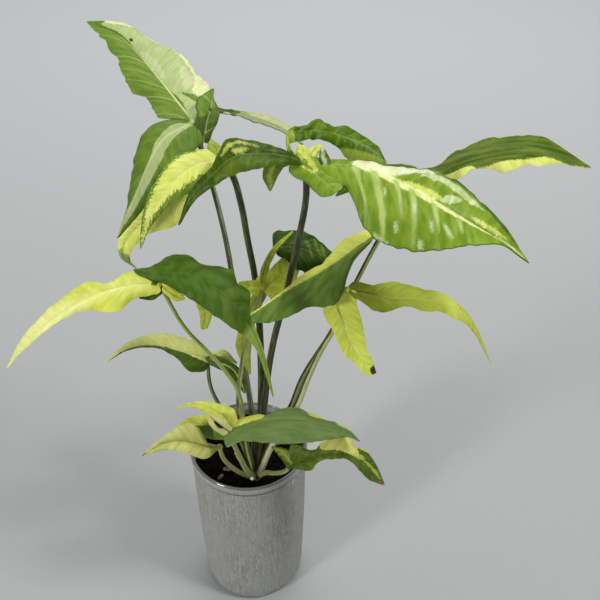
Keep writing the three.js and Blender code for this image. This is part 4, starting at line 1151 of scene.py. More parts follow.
high_centre_skin = leaf_skin(
    "high_centre_skin", ((0.13, 0.235, 0.01), (0.22, 0.325, 0.026)), high_centre_marks,
    rib=(0.7, 0.73, 0.28), veins=(0.42, 0.52, 0.14), **high_centre_rows, gloss=0.32, vein_width=1.2)
high_centre_lobes = [
    dict(
        rib=[(42, -22, 404), (62, -27, 405), (86, -34, 402), (111, -42, 393), (138, -52, 380),
             (165, -62, 364)],
        left=[(2, 8, -2), (2, 20, -9.5), (3, 27, -8.5), (3.5, 28, 1), (2, 20, 6)],
        right=[(-1, -5, -3), (1, -6, -4), (0.5, -14, -11.5), (-7.5, -20, -24), (-7.5, -23, -24),
               (-4, -22, -16), (-2, -17, -4.5), (-0.5, -8, 3)],
        left_edge=[(0, 1), (0.2, 1), (0.31, 0.84), (0.37, 0.6), (0.43, 0.85), (0.46, 1.02), (0.63, 1.03),
                   (0.67, 0.95), (0.71, 1.08), (0.8, 1), (0.89, 1.2), (0.94, 1.4), (1, 1)],
        right_edge=[(0, 1), (0.17, 1.15), (0.21, 0.84), (0.27, 1.08), (0.33, 0.98), (0.75, 1.06),
                    (0.83, 1.12), (0.9, 0.9), (1, 0.8)],
        waves=3, ripple=1.5,
        cream=[[(0.25, 0.12), (0.27, 0.5), (0.36, 0.8), (0.48, 0.85), (0.58, 0.9), (0.6, 0.75), (0.52, 0.5),
                (0.46, 0.22), (0.42, 0.05), (0.38, 0), (0.3, 0.02)]],
        grey=[[(0.54, 0.5), (0.6, 0.72), (0.68, 0.76), (0.76, 0.66), (0.82, 0.62), (0.78, 0.48),
               (0.72, 0.42), (0.66, 0.52), (0.58, 0.46)],
              [(0.63, 0.05), (0.66, 0.25), (0.7, 0.38), (0.715, 0.34), (0.69, 0.18), (0.65, 0.04)]],
        dark=[[(0.58, 1.3), (0.64, 0.9), (0.74, 0.84), (0.84, 0.72), (0.92, 0.7), (0.98, 1.2), (0.8, 1.4)]],
        yellow=[[(0.46, 0.05), (0.54, 0.16), (0.66, 0.14), (0.62, 0.02), (0.52, 0)],
                [(0.76, 0.1), (0.8, 0.2), (0.87, 0.32), (0.9, 0.3), (0.84, 0.1)]],
        midrib=[[(0.26, 0.12), (0.33, 0.1), (0.44, 0.06), (0.56, 0.03), (0.7, -0.02), (0.82, 0), (0.92, 0.2),
                 (0.98, 0.3), (0.92, -0.1), (0.85, -0.36), (0.76, -0.26), (0.64, -0.14), (0.52, -0.09),
                 (0.38, -0.04)]],
        vein=[[(0.25, 0.02), (0.275, -0.3), (0.33, -0.6), (0.365, -0.95), (0.35, -0.6), (0.3, -0.3),
               (0.285, 0)],
              [(0.335, 0.02), (0.37, -0.3), (0.41, -0.6), (0.45, -1), (0.44, -0.6), (0.405, -0.3),
               (0.37, 0)],
              [(0.435, 0), (0.47, -0.25), (0.5, -0.55), (0.485, -0.25), (0.46, 0)],
              [(0.505, -0.05), (0.53, -0.4), (0.56, -0.95), (0.55, -0.4), (0.535, -0.05)],
              [(0.6, -0.1), (0.615, -0.35), (0.64, -0.7), (0.632, -0.35), (0.622, -0.1)],
              [(0.7, -0.2), (0.705, -0.4), (0.72, -0.7), (0.72, -0.4), (0.72, -0.2)]],
        # Painted highlights: small pale glints along the side veins.
        painted_glint=[[(0.405, -0.2), (0.412, -0.32), (0.42, -0.31), (0.415, -0.2)],
               [(0.53, -0.24), (0.538, -0.42), (0.548, -0.41), (0.54, -0.25)],
               [(0.572, -0.84), (0.582, -0.98), (0.596, -0.97), (0.588, -0.84)],
               [(0.602, -0.5), (0.612, -0.68), (0.62, -0.66), (0.61, -0.5)],
               [(0.65, -0.48), (0.662, -0.66), (0.682, -0.82), (0.688, -0.78), (0.673, -0.62),
                (0.658, -0.48)],
               [(0.475, -0.64), (0.483, -0.8), (0.495, -0.78), (0.484, -0.64)],
               [(0.41, -0.92), (0.43, -0.98), (0.47, -0.98), (0.45, -0.94)]],
        rib_show=0.0, side_show=0.05, right_show=0.1, quilt=0.3, edge_mark="dark", edge_width=0.6, fine=2,
    ),
    dict(
        rib=[(38, -20, 405), (33, -14, 408), (33, -4, 413), (41, 5, 410), (54, 12, 406), (69, 14, 400),
             (82, 12, 394), (91, 8, 387)],
        left=[(-2, 1, 1), (-2, 1, 0), (-2, 3, 2), (1, 5, 3), (2, 6, 2), (3, 5, 0), (3, 4, 0)],
        right=[(2, -1, -1), (2, -1, -1), (1, -3, -3), (0, -4, -4), (-3, -5, -3), (-4, -4, -7), (-3, -3, -5)],
        left_edge=[(0, 0.8), (0.14, 0.55), (0.22, 0.35), (0.3, 0.35), (0.37, 0.54), (0.46, 0.6),
                   (0.475, 1.2), (0.5, 1.4), (0.53, 1.38), (0.56, 0.96), (0.61, 1), (0.66, 1.45),
                   (0.7, 1.55), (0.75, 1.7), (0.8, 1.44), (0.9, 1.2), (1, 1)],
        right_edge=[(0, 1.2), (0.32, 1.4), (0.39, 1.16), (0.47, 1), (0.56, 0.96), (0.62, 0.82), (0.66, 0.8),
                    (0.7, 0.95), (0.73, 1.18), (0.78, 1.45), (0.9, 1.5), (1, 1.2)],
        waves=3, ripple=1.2,
        dark=["all"], painted_light_and_tone=1.3,
        olive=[[(0.14, -1.2), (0.16, 1.2), (0.26, 1.3), (0.34, 1.2), (0.32, -1.2)],
               [(0.68, -0.9), (0.76, -1.2), (1, -1.3), (1, -0.6), (0.9, -0.3), (0.8, -0.5), (0.73, -0.6)]],
        rib_show=0.12, side_show=0.08, quilt=0.9, ruffle=0.6,
    ),
    dict(
        rib=[(40, -20, 405), (49, -31, 401), (59, -42, 397)],
        left=[(4, 3, 2), (8, 4, 2), (7, 2, 0)],
        right=[(-6, 0, -2), (-6, -3, -4), (-4, -4, -5)],
        right_edge=[(0, 0.8), (0.06, 1.3), (0.13, 1.45), (0.24, 1.32), (0.38, 0.95), (0.48, 0.9), (0.8, 1.1),
                    (1, 1.1)],
        left_edge=[(0, 1), (0.5, 1.1), (1, 1.2)], tip=6, round_tip=0.3, keel=0.3,
        yellow=[[(-0.05, 0.7), (0.2, 0.5), (0.45, 0.1), (0.2, -0.35), (-0.05, -0.6)]],
        rib_show=0.12, painted_light_and_tone=0.9, edge_mark="mid", edge_width=0.8,
    ),
    dict(
        rib=[(40, -22, 405), (31, -25, 410), (19, -28, 413), (4, -32, 413), (-9, -37, 404), (-20, -41, 393),
             (-28, -44, 377)],
        left=[(1, -3, -2), (1, -4, -3), (0, -7, -5), (1, -8, -6), (3, -4, -3), (2, -2, -1)],
        right=[(-1, 2, 1), (0, 3, 2), (0, 6, 3), (-4, 15, 3), (0, 5, 3), (-1, 3, 2)],
        dark=["all"],
        yellow=[[(0.57, -0.42), (0.52, -0.6), (0.46, -0.68), (0.39, -0.62), (0.37, -0.48), (0.42, -0.45),
                 (0.46, -0.5), (0.5, -0.44), (0.53, -0.3)],
                [(0.42, -0.3), (0.43, -0.1), (0.49, -0.1), (0.5, -0.26)]],
        mid=[[(0.12, 1.2), (0.26, 0.45), (0.4, 0.2), (0.54, 0.25), (0.66, 0.6), (0.7, 1.3), (0.4, 1.4)]],
        rib_show=0.15, painted_light_and_tone=0.7, fine=2, edge_mark="dark", edge_width=0.8,
    ),
    dict(
        rib=[(41, -21, 403), (29, -17, 403), (23, -15, 393), (22, -14, 381)],
        left=[(0, -1, -3), (4, -1, -3), (5, 0, 1)],
        right=[(0, 2, 2), (-4, 2, 3), (-5, 1, 0)],
        olive=["all"], yellow=[[(0.4, -0.2), (0.65, -0.4), (0.9, 0), (0.6, 0.2)]], side_show=0.2,
    ),
    dict(
        rib=[(42, -21, 404), (41, -16, 407), (40, -11, 409)],
        left=[(-5, 0, 0), (-4, 0, 0)],
        right=[(6, 0, 0), (5, 0, 0)],
        tip=2, waves=2, ripple=1,
        yellow=["all"], rib_show=0.1,
    ),
    dict(
        rib=[(44, -21, 405), (48, -16, 409), (52, -12, 410)],
        left=[(-3, 0, 1), (-2, 1, 1)],
        right=[(3, 0, -1), (2, -1, -1)],
        yellow=["all"], rib_show=0.1,
    ),
    dict(
        rib=[(54, -27, 403), (53, -23, 407), (52, -18, 410)],
        left=[(-3, 1, 0), (-3, 2, 0)],
        right=[(3, 1, -1), (3, 1, -1)],
        arch=0.35, tip=1.5,
        dark=["all"], cream=[[(0, 0.1), (0.5, 0.25), (1, 0.2), (1, 0), (0.5, 0.05), (0, -0.1)]],
        rib_show=0.1, side_show=0.05,
    ),
]
leaf(
    "leaf_high_centre", (42, -22, 404), high_centre_lobes, high_centre_skin, "leaf_green", high_centre_marks,
    **high_centre_rows)


# The leaf reaching out to the right: long and narrow, olive green with lengthwise streaks and a
# chartreuse waved margin along its near side.
high_right_marks = {"yellow": ((0.55, 0.6, 0.12), (0.68, 0.7, 0.18), 0.5, 0.4, 0.8)}
high_right_rows = dict(slant=0.3, spacing=6)
high_right_skin = leaf_skin(
    "high_right_skin", ((0.04, 0.09, 0.003), (0.125, 0.18, 0.013)), high_right_marks,
    rib=(0.24, 0.3, 0.06), veins=(0.2, 0.27, 0.05), **high_right_rows, cloudy=(0.16, 1.3, 1.0))
high_right_lobes = [
    dict(
        rib=[(115, 35, 366), (129, 38, 367), (148, 42, 370), (168, 45, 373), (194, 47, 373), (228, 44, 364)],
        left=[(-1, 2, 0), (0, 4, 1), (0, 14, 3), (1.5, 17, 3.5), (3.5, 15, 3.5)],
        right=[(0, -5, -2), (0, -8, -3), (-1.5, -13, 0), (0, -16, -3), (0, -10, -3)],
        left_edge=[(0, 1), (0.22, 0.85), (0.28, 1.05), (0.36, 0.98), (0.43, 1.1), (0.5, 1.04), (0.57, 0.9),
                   (0.66, 0.98), (0.8, 1.05), (1, 1)],
        right_edge=[(0, 1.2), (0.3, 1.6), (0.36, 1.6), (0.4, 1.02), (0.46, 0.7), (0.53, 0.75), (0.57, 1.02),
                    (0.6, 1.16), (0.65, 1.1), (0.73, 0.82), (0.79, 1.1), (0.88, 0.8), (1, 1)],
        waves=3.5, ripple=1.6,
        yellow=[[(0.14, -1.2), (0.2, -0.95), (0.3, -0.9), (0.44, -0.75), (0.58, -0.6), (0.72, -0.6),
                 (0.84, -0.45), (0.92, -1.2), (0.6, -1.4)]],
        side_show=0.04, quilt=0.04, edge_mark="yellow", edge_width=0.0,
    ),
    dict(
        rib=[(115, 35, 366), (103, 38, 367), (92, 37, 368), (76, 30, 364), (62, 22, 356)],
        left=[(1, -5, -1), (2, -9, -2), (3, -10, -3), (3, -6, -3)],
        right=[(-1, 5, 1), (-0.5, 9, -2.5), (-2, 9, -4.5), (-3, 6, -1)],
        waves=2, ripple=0.8,
        side_show=0.04, quilt=0.04,
    ),
    dict(
        rib=[(115, 35, 366), (121, 25, 360), (128, 14, 350), (135, 5, 337)],
        left=[(5, 3, 0), (9, 4, 0), (6, 3, 0)],
        right=[(-5, -3, 0), (-8, -4, 0), (-6, -3, 0)],
        side_show=0.04, quilt=0.04,
    ),
]
leaf(
    "leaf_high_right", (115, 35, 366), high_right_lobes, high_right_skin, "leaf_green", high_right_marks,
    **high_right_rows)


# The long leaf on the left: its front lobe bright lime with a paler midrib, its back lobe dark
# satin green, folded along its length and drooping to a lighter tail.
lime_left_marks = {
    "light": ((0.24, 0.33, 0.06), (0.3, 0.38, 0.08), 0.5, 0.1, 4.0),
    "lime": ((0.48, 0.53, 0.06), (0.59, 0.63, 0.1), 0.5, 0.1),
    "pale": ((0.69, 0.71, 0.24), (0.76, 0.77, 0.3), 0.8, 0.1, 6.0),
}
lime_left_rows = dict(slant=0.8, spacing=8)
lime_left_skin = leaf_skin(
    "lime_left_skin", ((0.045, 0.1, 0.005), (0.08, 0.15, 0.014)), lime_left_marks,
    rib=(0.76, 0.79, 0.32), veins=(0.66, 0.7, 0.22), **lime_left_rows, gloss=0.42,
    cloudy=(0.6, 0.6, 1.0))
lime_left_lobes = [
    dict(
        rib=[(-42, -48, 339), (-58, -54, 342), (-75, -60, 341), (-97, -68, 332), (-118, -75, 316),
             (-131, -78, 300)],
        left=[(3, -4, -4), (2, -9, -5), (1, -11, -4), (1, -3, -2), (2.5, -2, 1)],
        right=[(0, 6, 2), (0, 8, 3), (0.5, 6, 3.5), (0, 8, 5), (0, 5, 3)],
        left_edge=[(0, 0.9), (0.13, 0.78), (0.17, 0.75), (0.22, 0.92), (0.27, 1.24), (0.31, 1.34),
                   (0.35, 1.2), (0.41, 0.94), (0.48, 0.63), (0.52, 0.6), (0.58, 0.88), (0.64, 1.14),
                   (0.72, 1.28), (0.79, 1.08), (1, 1)],
        right_edge=[(0, 0.5), (0.07, 0.52), (0.14, 0.76), (0.2, 1.24), (0.25, 1.16), (0.3, 0.96),
                    (0.34, 0.66), (0.37, 0.66), (0.42, 1.1), (0.47, 1.38), (0.51, 1.38), (0.58, 1.2),
                    (0.63, 1.1), (0.69, 1.1), (0.73, 0.92), (0.8, 1.2), (0.88, 1.6), (1, 1.4)],
        waves=3, ripple=1.4,
        lime=["all"],
        pale=[[(0.1, 0.12), (0.4, 0.3), (0.6, 1.2), (1.1, 1.2), (1.1, -1.2), (0.75, -1.2), (0.5, -0.3),
               (0.2, -0.12)]],
        rib_show=0.6, side_show=0.15,
    ),
    dict(
        rib=[(-57, -43, 346), (-40, -47, 347), (-23, -52, 349), (-9, -57, 344), (4, -63, 333),
             (15, -68, 310), (23, -70, 269)],
        left=[(0.5, 2, -3.5), (-1, 12, 0.5), (0, 14, 2), (3, 13, 4), (4, 11, 2.5), (3, 4, 1)],
        right=[(0, -2, -2), (1, -5, -5), (-2, -11, -9), (-5, -9, -8), (-5, -9, -5), (-3, -4, -1)],
        left_edge=[(0, 0.4), (0.06, 0.35), (0.1, 0.45), (0.115, 0.8), (0.15, 0.92), (0.18, 1.16),
                   (0.23, 1.14), (0.32, 0.94), (0.38, 0.82), (0.42, 0.84), (0.46, 0.94), (0.56, 1.16),
                   (0.59, 1), (0.61, 0.86), (0.66, 1.24), (0.69, 1.36), (0.71, 1), (0.74, 0.5), (0.82, 0.36),
                   (0.93, 0.7), (1, 1)],
        right_edge=[(0, 1), (0.29, 0.9), (0.45, 1), (0.54, 1.08), (0.67, 1.06), (0.74, 0.88), (0.84, 0.55),
                    (0.95, 0.5), (1, 0.8)],
        waves=3.5, ripple=1.6,
        light=[[(0.8, -1.2), (0.76, 0), (0.8, 1.2), (1.1, 1.2), (1.1, -1.2)]], rib_show=0.02, side_show=0.0,
        quilt=0.1, keel=0.6,
    ),
    dict(
        rib=[(-40, -46, 339), (-30, -43, 333), (-21, -41, 324), (-18, -40, 311), (-20, -40, 298)],
        left=[(2, 0, 2), (4, 0, 3), (4, 0, 1), (4, 0, 0)],
        right=[(-2, 0, -2), (-4, 0, -2), (-4, 0, -1), (-4, 0, 0)],
        tip=2,
        lime=["all"], painted_light_and_tone=0.85,
    ),
    dict(
        rib=[(-41, -48, 340), (-47, -51, 336), (-54, -54, 335)],
        left=[(1, -3, -5), (1, -3, -4)],
        right=[(-2, 2, 3), (-3, 1, 3)],
        arch=0.25, tip=1.5,
        rib_show=0.2,
    ),
    dict(
        rib=[(-40, -50, 339), (-33, -54, 336), (-27, -56, 335)],
        left=[(0, 2, 4), (0, 1, 4)],
        right=[(0, -2, -3), (0, -2, -3)],
        arch=0.25, tip=1.2,
        lime=["all"], rib_show=0.2,
    ),
]
leaf(
    "leaf_lime_left", (-42, -48, 339), lime_left_lobes, lime_left_skin, "leaf_lime", lime_left_marks,
    **lime_left_rows, joint="lime")


# The leaf in the middle right: a dark green lobe with a yellow far edge reaching back to the left,
# and two lime lobes, one hanging to a browned tip and one arching out to the right.
mid_right_marks = {
    "lime": ((0.44, 0.49, 0.06), (0.54, 0.58, 0.1), 0.5, 0.1),
    "olive": ((0.25, 0.31, 0.022), (0.32, 0.37, 0.035), 1.0, 0.2, 7.0),
    "line": ((0.13, 0.17, 0.015), (0.18, 0.22, 0.02), 0.2, 0.1, 0.5),
    "yellow": ((0.6, 0.64, 0.1), (0.7, 0.73, 0.15), 0.4, 0.1),
    "brown": ((0.02, 0.015, 0.008), (0.05, 0.035, 0.015), 0.2, 0.1),
}
mid_right_rows = dict(slant=1.2, spacing=7)
mid_right_skin = leaf_skin(
    "mid_right_skin", ((0.09, 0.165, 0.023), (0.145, 0.235, 0.04)), mid_right_marks,
    rib=(0.5, 0.54, 0.2), veins=(0.5, 0.55, 0.2), **mid_right_rows, cloudy=(0.5, 0.8, 1.0))
mid_right_lobes = [
    dict(
        rib=[(69, -18, 312), (65, -22, 300), (69, -26, 284), (77, -29, 267), (87, -31, 251)],
        left=[(5, 1, 0), (10, 1, 0), (11, 1, 2), (7, 0, 2)],
        right=[(-5, 1, 0), (-12, -1, 0), (-10, -2, -1), (-7, -1, -3)],
        left_edge=[(0, 1.1), (0.3, 1.12), (0.47, 1.04), (0.61, 0.96), (0.71, 0.94), (0.83, 1.12), (1, 1.1)],
        right_edge=[(0, 1), (0.22, 0.96), (0.33, 0.86), (0.43, 0.75), (0.53, 0.75), (0.65, 0.88),
                    (0.74, 0.92), (0.82, 0.72), (0.94, 0.94), (1, 1)],
        tip=3, waves=1.5, ripple=0.8, arch=0.03,
        lime=["all"], brown=[[(0.98, 0.1), (0.92, 0.5), (0.88, 1.2), (1, 1.2), (1.05, 0.4)]],
        line=[[(0.14, -0.36), (0.24, -0.12), (0.34, 0.04), (0.46, 0.02), (0.34, -0.04), (0.24, -0.2)]],
        rib_show=0.25, side_show=0.08, painted_light_and_tone=1.6, keel=0.1, quilt=0.05,
    ),
    dict(
        rib=[(69, -18, 312), (91, -14, 302), (111, -13, 301), (132, -17, 300), (149, -22, 290),
             (165, -29, 259)],
        left=[(1, 4, 2), (0, 10, 4), (0, 9, 3), (1.5, 7, 1.5), (2, 3, -3)],
        right=[(0, -5, -3), (0, -9, -4), (0, -6, -3), (-1, -7, -4), (-4, -3, -4)],
        left_edge=[(0, 1.4), (0.09, 1.04), (0.16, 0.88), (0.21, 1.08), (0.27, 1.16), (0.37, 1.06),
                   (0.43, 1.02), (0.48, 0.94), (0.55, 1.1), (0.61, 0.9), (0.67, 0.55), (0.74, 1.4),
                   (0.8, 1.8), (0.9, 1.8), (1, 1)],
        right_edge=[(0, 0.7), (0.07, 0.7), (0.15, 1.1), (0.21, 0.98), (0.34, 0.8), (0.4, 0.98), (0.44, 1.22),
                    (0.49, 1.2), (0.55, 0.8), (0.61, 0.74), (0.68, 1), (0.75, 0.76), (0.87, 0.45), (1, 0.5)],
        waves=3, ripple=1.2, arch=0.05,
        lime=["all"], olive=[[(-0.1, -1.2), (0.2, -1.3), (0.5, -1.2), (0.6, -0.4), (0.55, 0.4), (0.45, 1.2),
                              (-0.1, 1.3)]],
        line=[[(0, -0.08), (0.08, 0.22), (0.16, 0.22), (0.28, -0.1), (0.44, -0.32), (0.28, -0.18),
               (0.16, 0.14)]],
        brown=[[(0.7, 0.17), (0.705, 0.24), (0.715, 0.2)]],
        rib_show=0.15, side_show=0.08, keel=0.2, painted_light_and_tone=0.95, quilt=0.06,
    ),
    dict(
        rib=[(85, 0, 339), (68, -8, 331), (49, -18, 323), (27, -28, 314), (3, -36, 301)],
        left=[(2, -3, -3), (2, -11, -16), (8, -12, -14), (3, -8, -9)],
        right=[(-1, 4, 1), (-3, 8, 2), (-3, 7, 1), (-2, 5, 0)],
        left_edge=[(0, 0.3), (0.14, 0.32), (0.19, 0.38), (0.24, 0.6), (0.29, 0.88), (0.37, 1.04),
                   (0.45, 1.08), (0.55, 0.98), (0.6, 0.87), (0.65, 0.86), (0.7, 1), (0.78, 1.16),
                   (0.85, 1.3), (1, 1.4)],
        right_edge=[(0, 1.7), (0.05, 1.7), (0.13, 1.48), (0.27, 1.16), (0.35, 0.9), (0.42, 0.62),
                    (0.55, 0.88), (0.64, 0.6), (0.75, 0.5), (0.87, 0.35), (1, 0.8)],
        waves=2, ripple=0.8,
        yellow=[[(1.05, -0.4), (0.86, -0.05), (0.72, -0.1), (0.56, -0.05), (0.32, 0), (0.16, -0.1),
                 (-0.02, -0.35), (-0.05, -1.2), (0.5, -1.4), (1.05, -1.2)]],
        rib_show=0.2, side_show=0.04, quilt=0.05,
    ),
]
leaf(
    "leaf_mid_right", (69, -18, 312), mid_right_lobes, mid_right_skin, "leaf_lime", mid_right_marks,
    **mid_right_rows, joint="lime")


# The young leaf in the middle: olive-lime and star-shaped, with one dark lobe standing up behind
# the stalks and one pale narrow lobe hanging among them.
mid_centre_marks = {
    "dark": ((0.02, 0.055, 0.001), (0.05, 0.1, 0.004), 0.4, 0.1),
    # The lighter olive streaks on the dark lobe are a painted sheen.
    "painted_sheen_streak": ((0.11, 0.17, 0.014), (0.19, 0.25, 0.035), 0.3, 0.1, 1.2),
    "light": ((0.4, 0.45, 0.06), (0.5, 0.54, 0.1), 0.9, 0.3),
}
mid_centre_rows = dict(slant=1.0, spacing=7)
mid_centre_skin = leaf_skin(
    "mid_centre_skin", ((0.4, 0.46, 0.035), (0.54, 0.59, 0.08)), mid_centre_marks,
    rib=(0.4, 0.45, 0.15), veins=(0.3, 0.36, 0.1), **mid_centre_rows)
mid_centre_lobes = [
    dict(
        rib=[(15, -2, 301), (16, 2, 311), (23, 6, 326), (35, 9, 338)],
        left=[(-1.5, 1, 1), (-2, 1, 1), (-1.5, 1, 0)],
        right=[(2, -1, -1), (2, -1, -1), (1.5, -1, -1)],
        arch=0.4,
    ),
    dict(
        rib=[(15, -2, 301), (8, -4, 304), (0, -6, 308)],
        left=[(-1, -2, -4), (-1, -2, -3)],
        right=[(0, 2, 3), (0, 2, 2)],
        left_edge=[(0, 1.3), (1, 1.4)], right_edge=[(0, 1.3), (1, 1.4)],
        rib_show=0.2, painted_light_and_tone=1.35,
    ),
    dict(
        rib=[(15, -2, 300), (25, 3, 305), (38, 13, 319)],
        left=[(-4, 3, 4), (-5, 5, 2)],
        right=[(4, -4, -4), (6, -5, -8)],
        left_edge=[(0, 1.3), (1, 1.2)], right_edge=[(0, 1.3), (1, 1.3)], tip=4,
        rib_show=0.2, painted_light_and_tone=1.3,
    ),
    dict(
        rib=[(22, 11, 324), (33, 15, 322), (45, 16, 318), (56, 12, 312), (70, 5, 304)],
        left=[(-2, 8, 4), (0, 11, 4), (3, 9, 3), (4, 6, 2)],
        right=[(0, -3, -4), (-2, -7, -6), (-3, -9, -8), (-4, -6, -6)],
        left_edge=[(0, 1.1), (0.17, 1.2), (0.3, 1.14), (0.44, 1.22), (0.6, 1.24), (0.74, 1.1), (1, 1)],
        right_edge=[(0, 0.3), (0.04, 0.5), (0.07, 0.94), (0.21, 0.9), (0.29, 1.08), (0.38, 1.2), (0.55, 1.2),
                    (0.72, 0.5), (1, 0.6)],
        waves=2.5, ripple=1.1,
        # Painted sheen: lighter olive streaks across this dark lobe.
        dark=["all"], painted_sheen_streak=[[(0.5, 0.9), (0.56, 0.45), (0.66, 0.1), (0.68, 0.14), (0.6, 0.5),
                               (0.54, 0.95)],
                [(0.6, 0.85), (0.66, 0.4), (0.76, 0.05), (0.78, 0.1), (0.7, 0.45), (0.64, 0.9)],
                [(0.42, 0.5), (0.48, 0.2), (0.55, -0.2), (0.57, -0.18), (0.5, 0.25), (0.45, 0.55)]],
        ragged=0.03, rib_show=0.1, side_show=0.05,
    ),
    dict(
        rib=[(15, -2, 300), (7, -3, 283), (3, -6, 268), (1, -9, 253), (5, -13, 234)],
        left=[(4, -1, -2), (5, -1, 0), (5, -1, 0), (5, -1, 1)],
        right=[(-4, 0, 1), (-5, 1, 0), (-5, 1, 0), (-5, 1, -1)],
        waves=2, ripple=0.7,
        light=["all"], painted_light_and_tone=0.8,
    ),
]
leaf(
    "leaf_mid_centre", (15, -2, 301), mid_centre_lobes, mid_centre_skin, "leaf_lime", mid_centre_marks,
    **mid_centre_rows)


# The low leaf at the back left: a bowed lobe, pale yellow along its far half and dark green along
# its near half, with a pale narrow lobe and a dark one by its stalk.
low_back_marks = {"yellow": ((0.54, 0.56, 0.17), (0.62, 0.63, 0.22), 0.35, 0.1)}
low_back_rows = dict(slant=1.0, spacing=8)
low_back_skin = leaf_skin(
    "low_back_skin", ((0.05, 0.1, 0.007), (0.08, 0.135, 0.014)), low_back_marks,
    rib=(0.5, 0.54, 0.25), veins=(0.5, 0.54, 0.25), **low_back_rows, cloudy=(0.5, 0.8, 1.0))
low_back_left_lobes = [
    dict(
        rib=[(-24, -10, 246), (-40, -16, 258), (-58, -22, 268), (-74, -28, 271), (-87, -31, 263)],
        left=[(1, -6, -6), (-0.5, -8, -9), (0.5, -4, -2.5), (1, -2, -0.5), (0, -1, -1.5), (0, -0.5, -2)],
        right=[(-0.5, 6, 5.5), (0, 10, 1.5), (0.5, 10, 2.5), (0, 5, 2)],
        left_edge=[(0, 1), (0.22, 0.95), (0.26, 0.75), (0.35, 0.8), (0.53, 0.8), (0.61, 0.5), (0.7, 0.85),
                   (1, 0.9)],
        right_edge=[(0, 1.1), (0.19, 1.12), (0.28, 1.28), (0.37, 1.22), (0.45, 1.06), (0.54, 0.94),
                    (0.66, 0.8), (0.82, 0.7), (1, 0.9)],
        waves=2, ripple=1,
        yellow=[[(1.05, 0.6), (0.92, 0.35), (0.76, 0.3), (0.56, -0.05), (0.38, -0.05), (0.22, 0.05),
                 (0.04, 0.3), (-0.05, 0.3), (-0.05, -1.2), (0.5, -1.4), (1.05, -1.2)]],
        rib_show=0.2, side_show=0.06,
    ),
    dict(
        rib=[(-24, -10, 246), (-14, -8, 249), (-4, -8, 240)],
        left=[(0, 3, 1), (1, 3, 1)],
        right=[(0, -2, -2), (-1, -3, -2)],
        yellow=["all"],
    ),
    dict(
        rib=[(-23, -11, 247), (-14, -15, 246), (-7, -16, 242), (-2, -17, 232), (1, -18, 221)],
        left=[(1, 2, 3), (1, 2, 3), (4, 1, 1)],
        right=[(-1, -2, -3), (-2, -2, -3), (-4, -1, -1)],
        yellow=[[(0.02, 0), (0.5, 0.2), (0.98, 0.2), (0.98, -0.1), (0.5, -0.05)]], rib_show=0.1,
        side_show=0.05,
    ),
]
leaf(
    "leaf_low_back_left", (-24, -10, 246), low_back_left_lobes, low_back_skin, "leaf_green", low_back_marks,
    **low_back_rows)


# The low pale leaf at the left, over the rim of the pot: yellowish cream with fine green veins and
# a dry brown tip.
low_cream_marks = {"brown": ((0.12, 0.07, 0.03), (0.2, 0.12, 0.05), 0.2, 0.2)}
low_cream_rows = dict(slant=0.8, spacing=6)
low_cream_skin = leaf_skin(
    "low_cream_skin", ((0.42, 0.43, 0.12), (0.52, 0.52, 0.17)), low_cream_marks,
    rib=(0.56, 0.58, 0.22), veins=(0.34, 0.39, 0.09), **low_cream_rows, vein_width=0.5)
low_cream_lobes = [
    dict(
        rib=[(-16, -45, 196), (-26, -52, 205), (-38, -55, 213), (-51, -58, 214), (-66, -60, 204)],
        left=[(-0.5, -3, -1), (1.5, -9, -3.5), (2, -8, -3.5), (0, -4, -4)],
        right=[(-3, 1, 1.5), (0.5, 2.5, 9.5), (0, 4, 11), (0, 2, 7)],
        left_edge=[(0, 0.4), (0.05, 0.7), (0.16, 0.96), (0.25, 0.96), (0.36, 0.92), (0.48, 1), (0.59, 0.88),
                   (0.86, 0.75), (1, 0.8)],
        right_edge=[(0, 0.3), (0.2, 0.35), (0.23, 0.78), (0.3, 1.16), (0.39, 1.18), (0.51, 0.98),
                    (0.64, 0.8), (0.77, 0.72), (1, 0.9)],
        arch=0.2, waves=1.5, ripple=0.8,
        brown=[[(0.95, -0.5), (0.97, 0.3), (1.03, 0.3), (1.03, -0.5)]], rib_show=0.2, side_show=0.45,
        keel=0.0, painted_light_and_tone=1.1,
    ),
]
leaf(
    "leaf_low_cream", (-16, -45, 196), low_cream_lobes, low_cream_skin, "leaf_lime", low_cream_marks,
    **low_cream_rows)


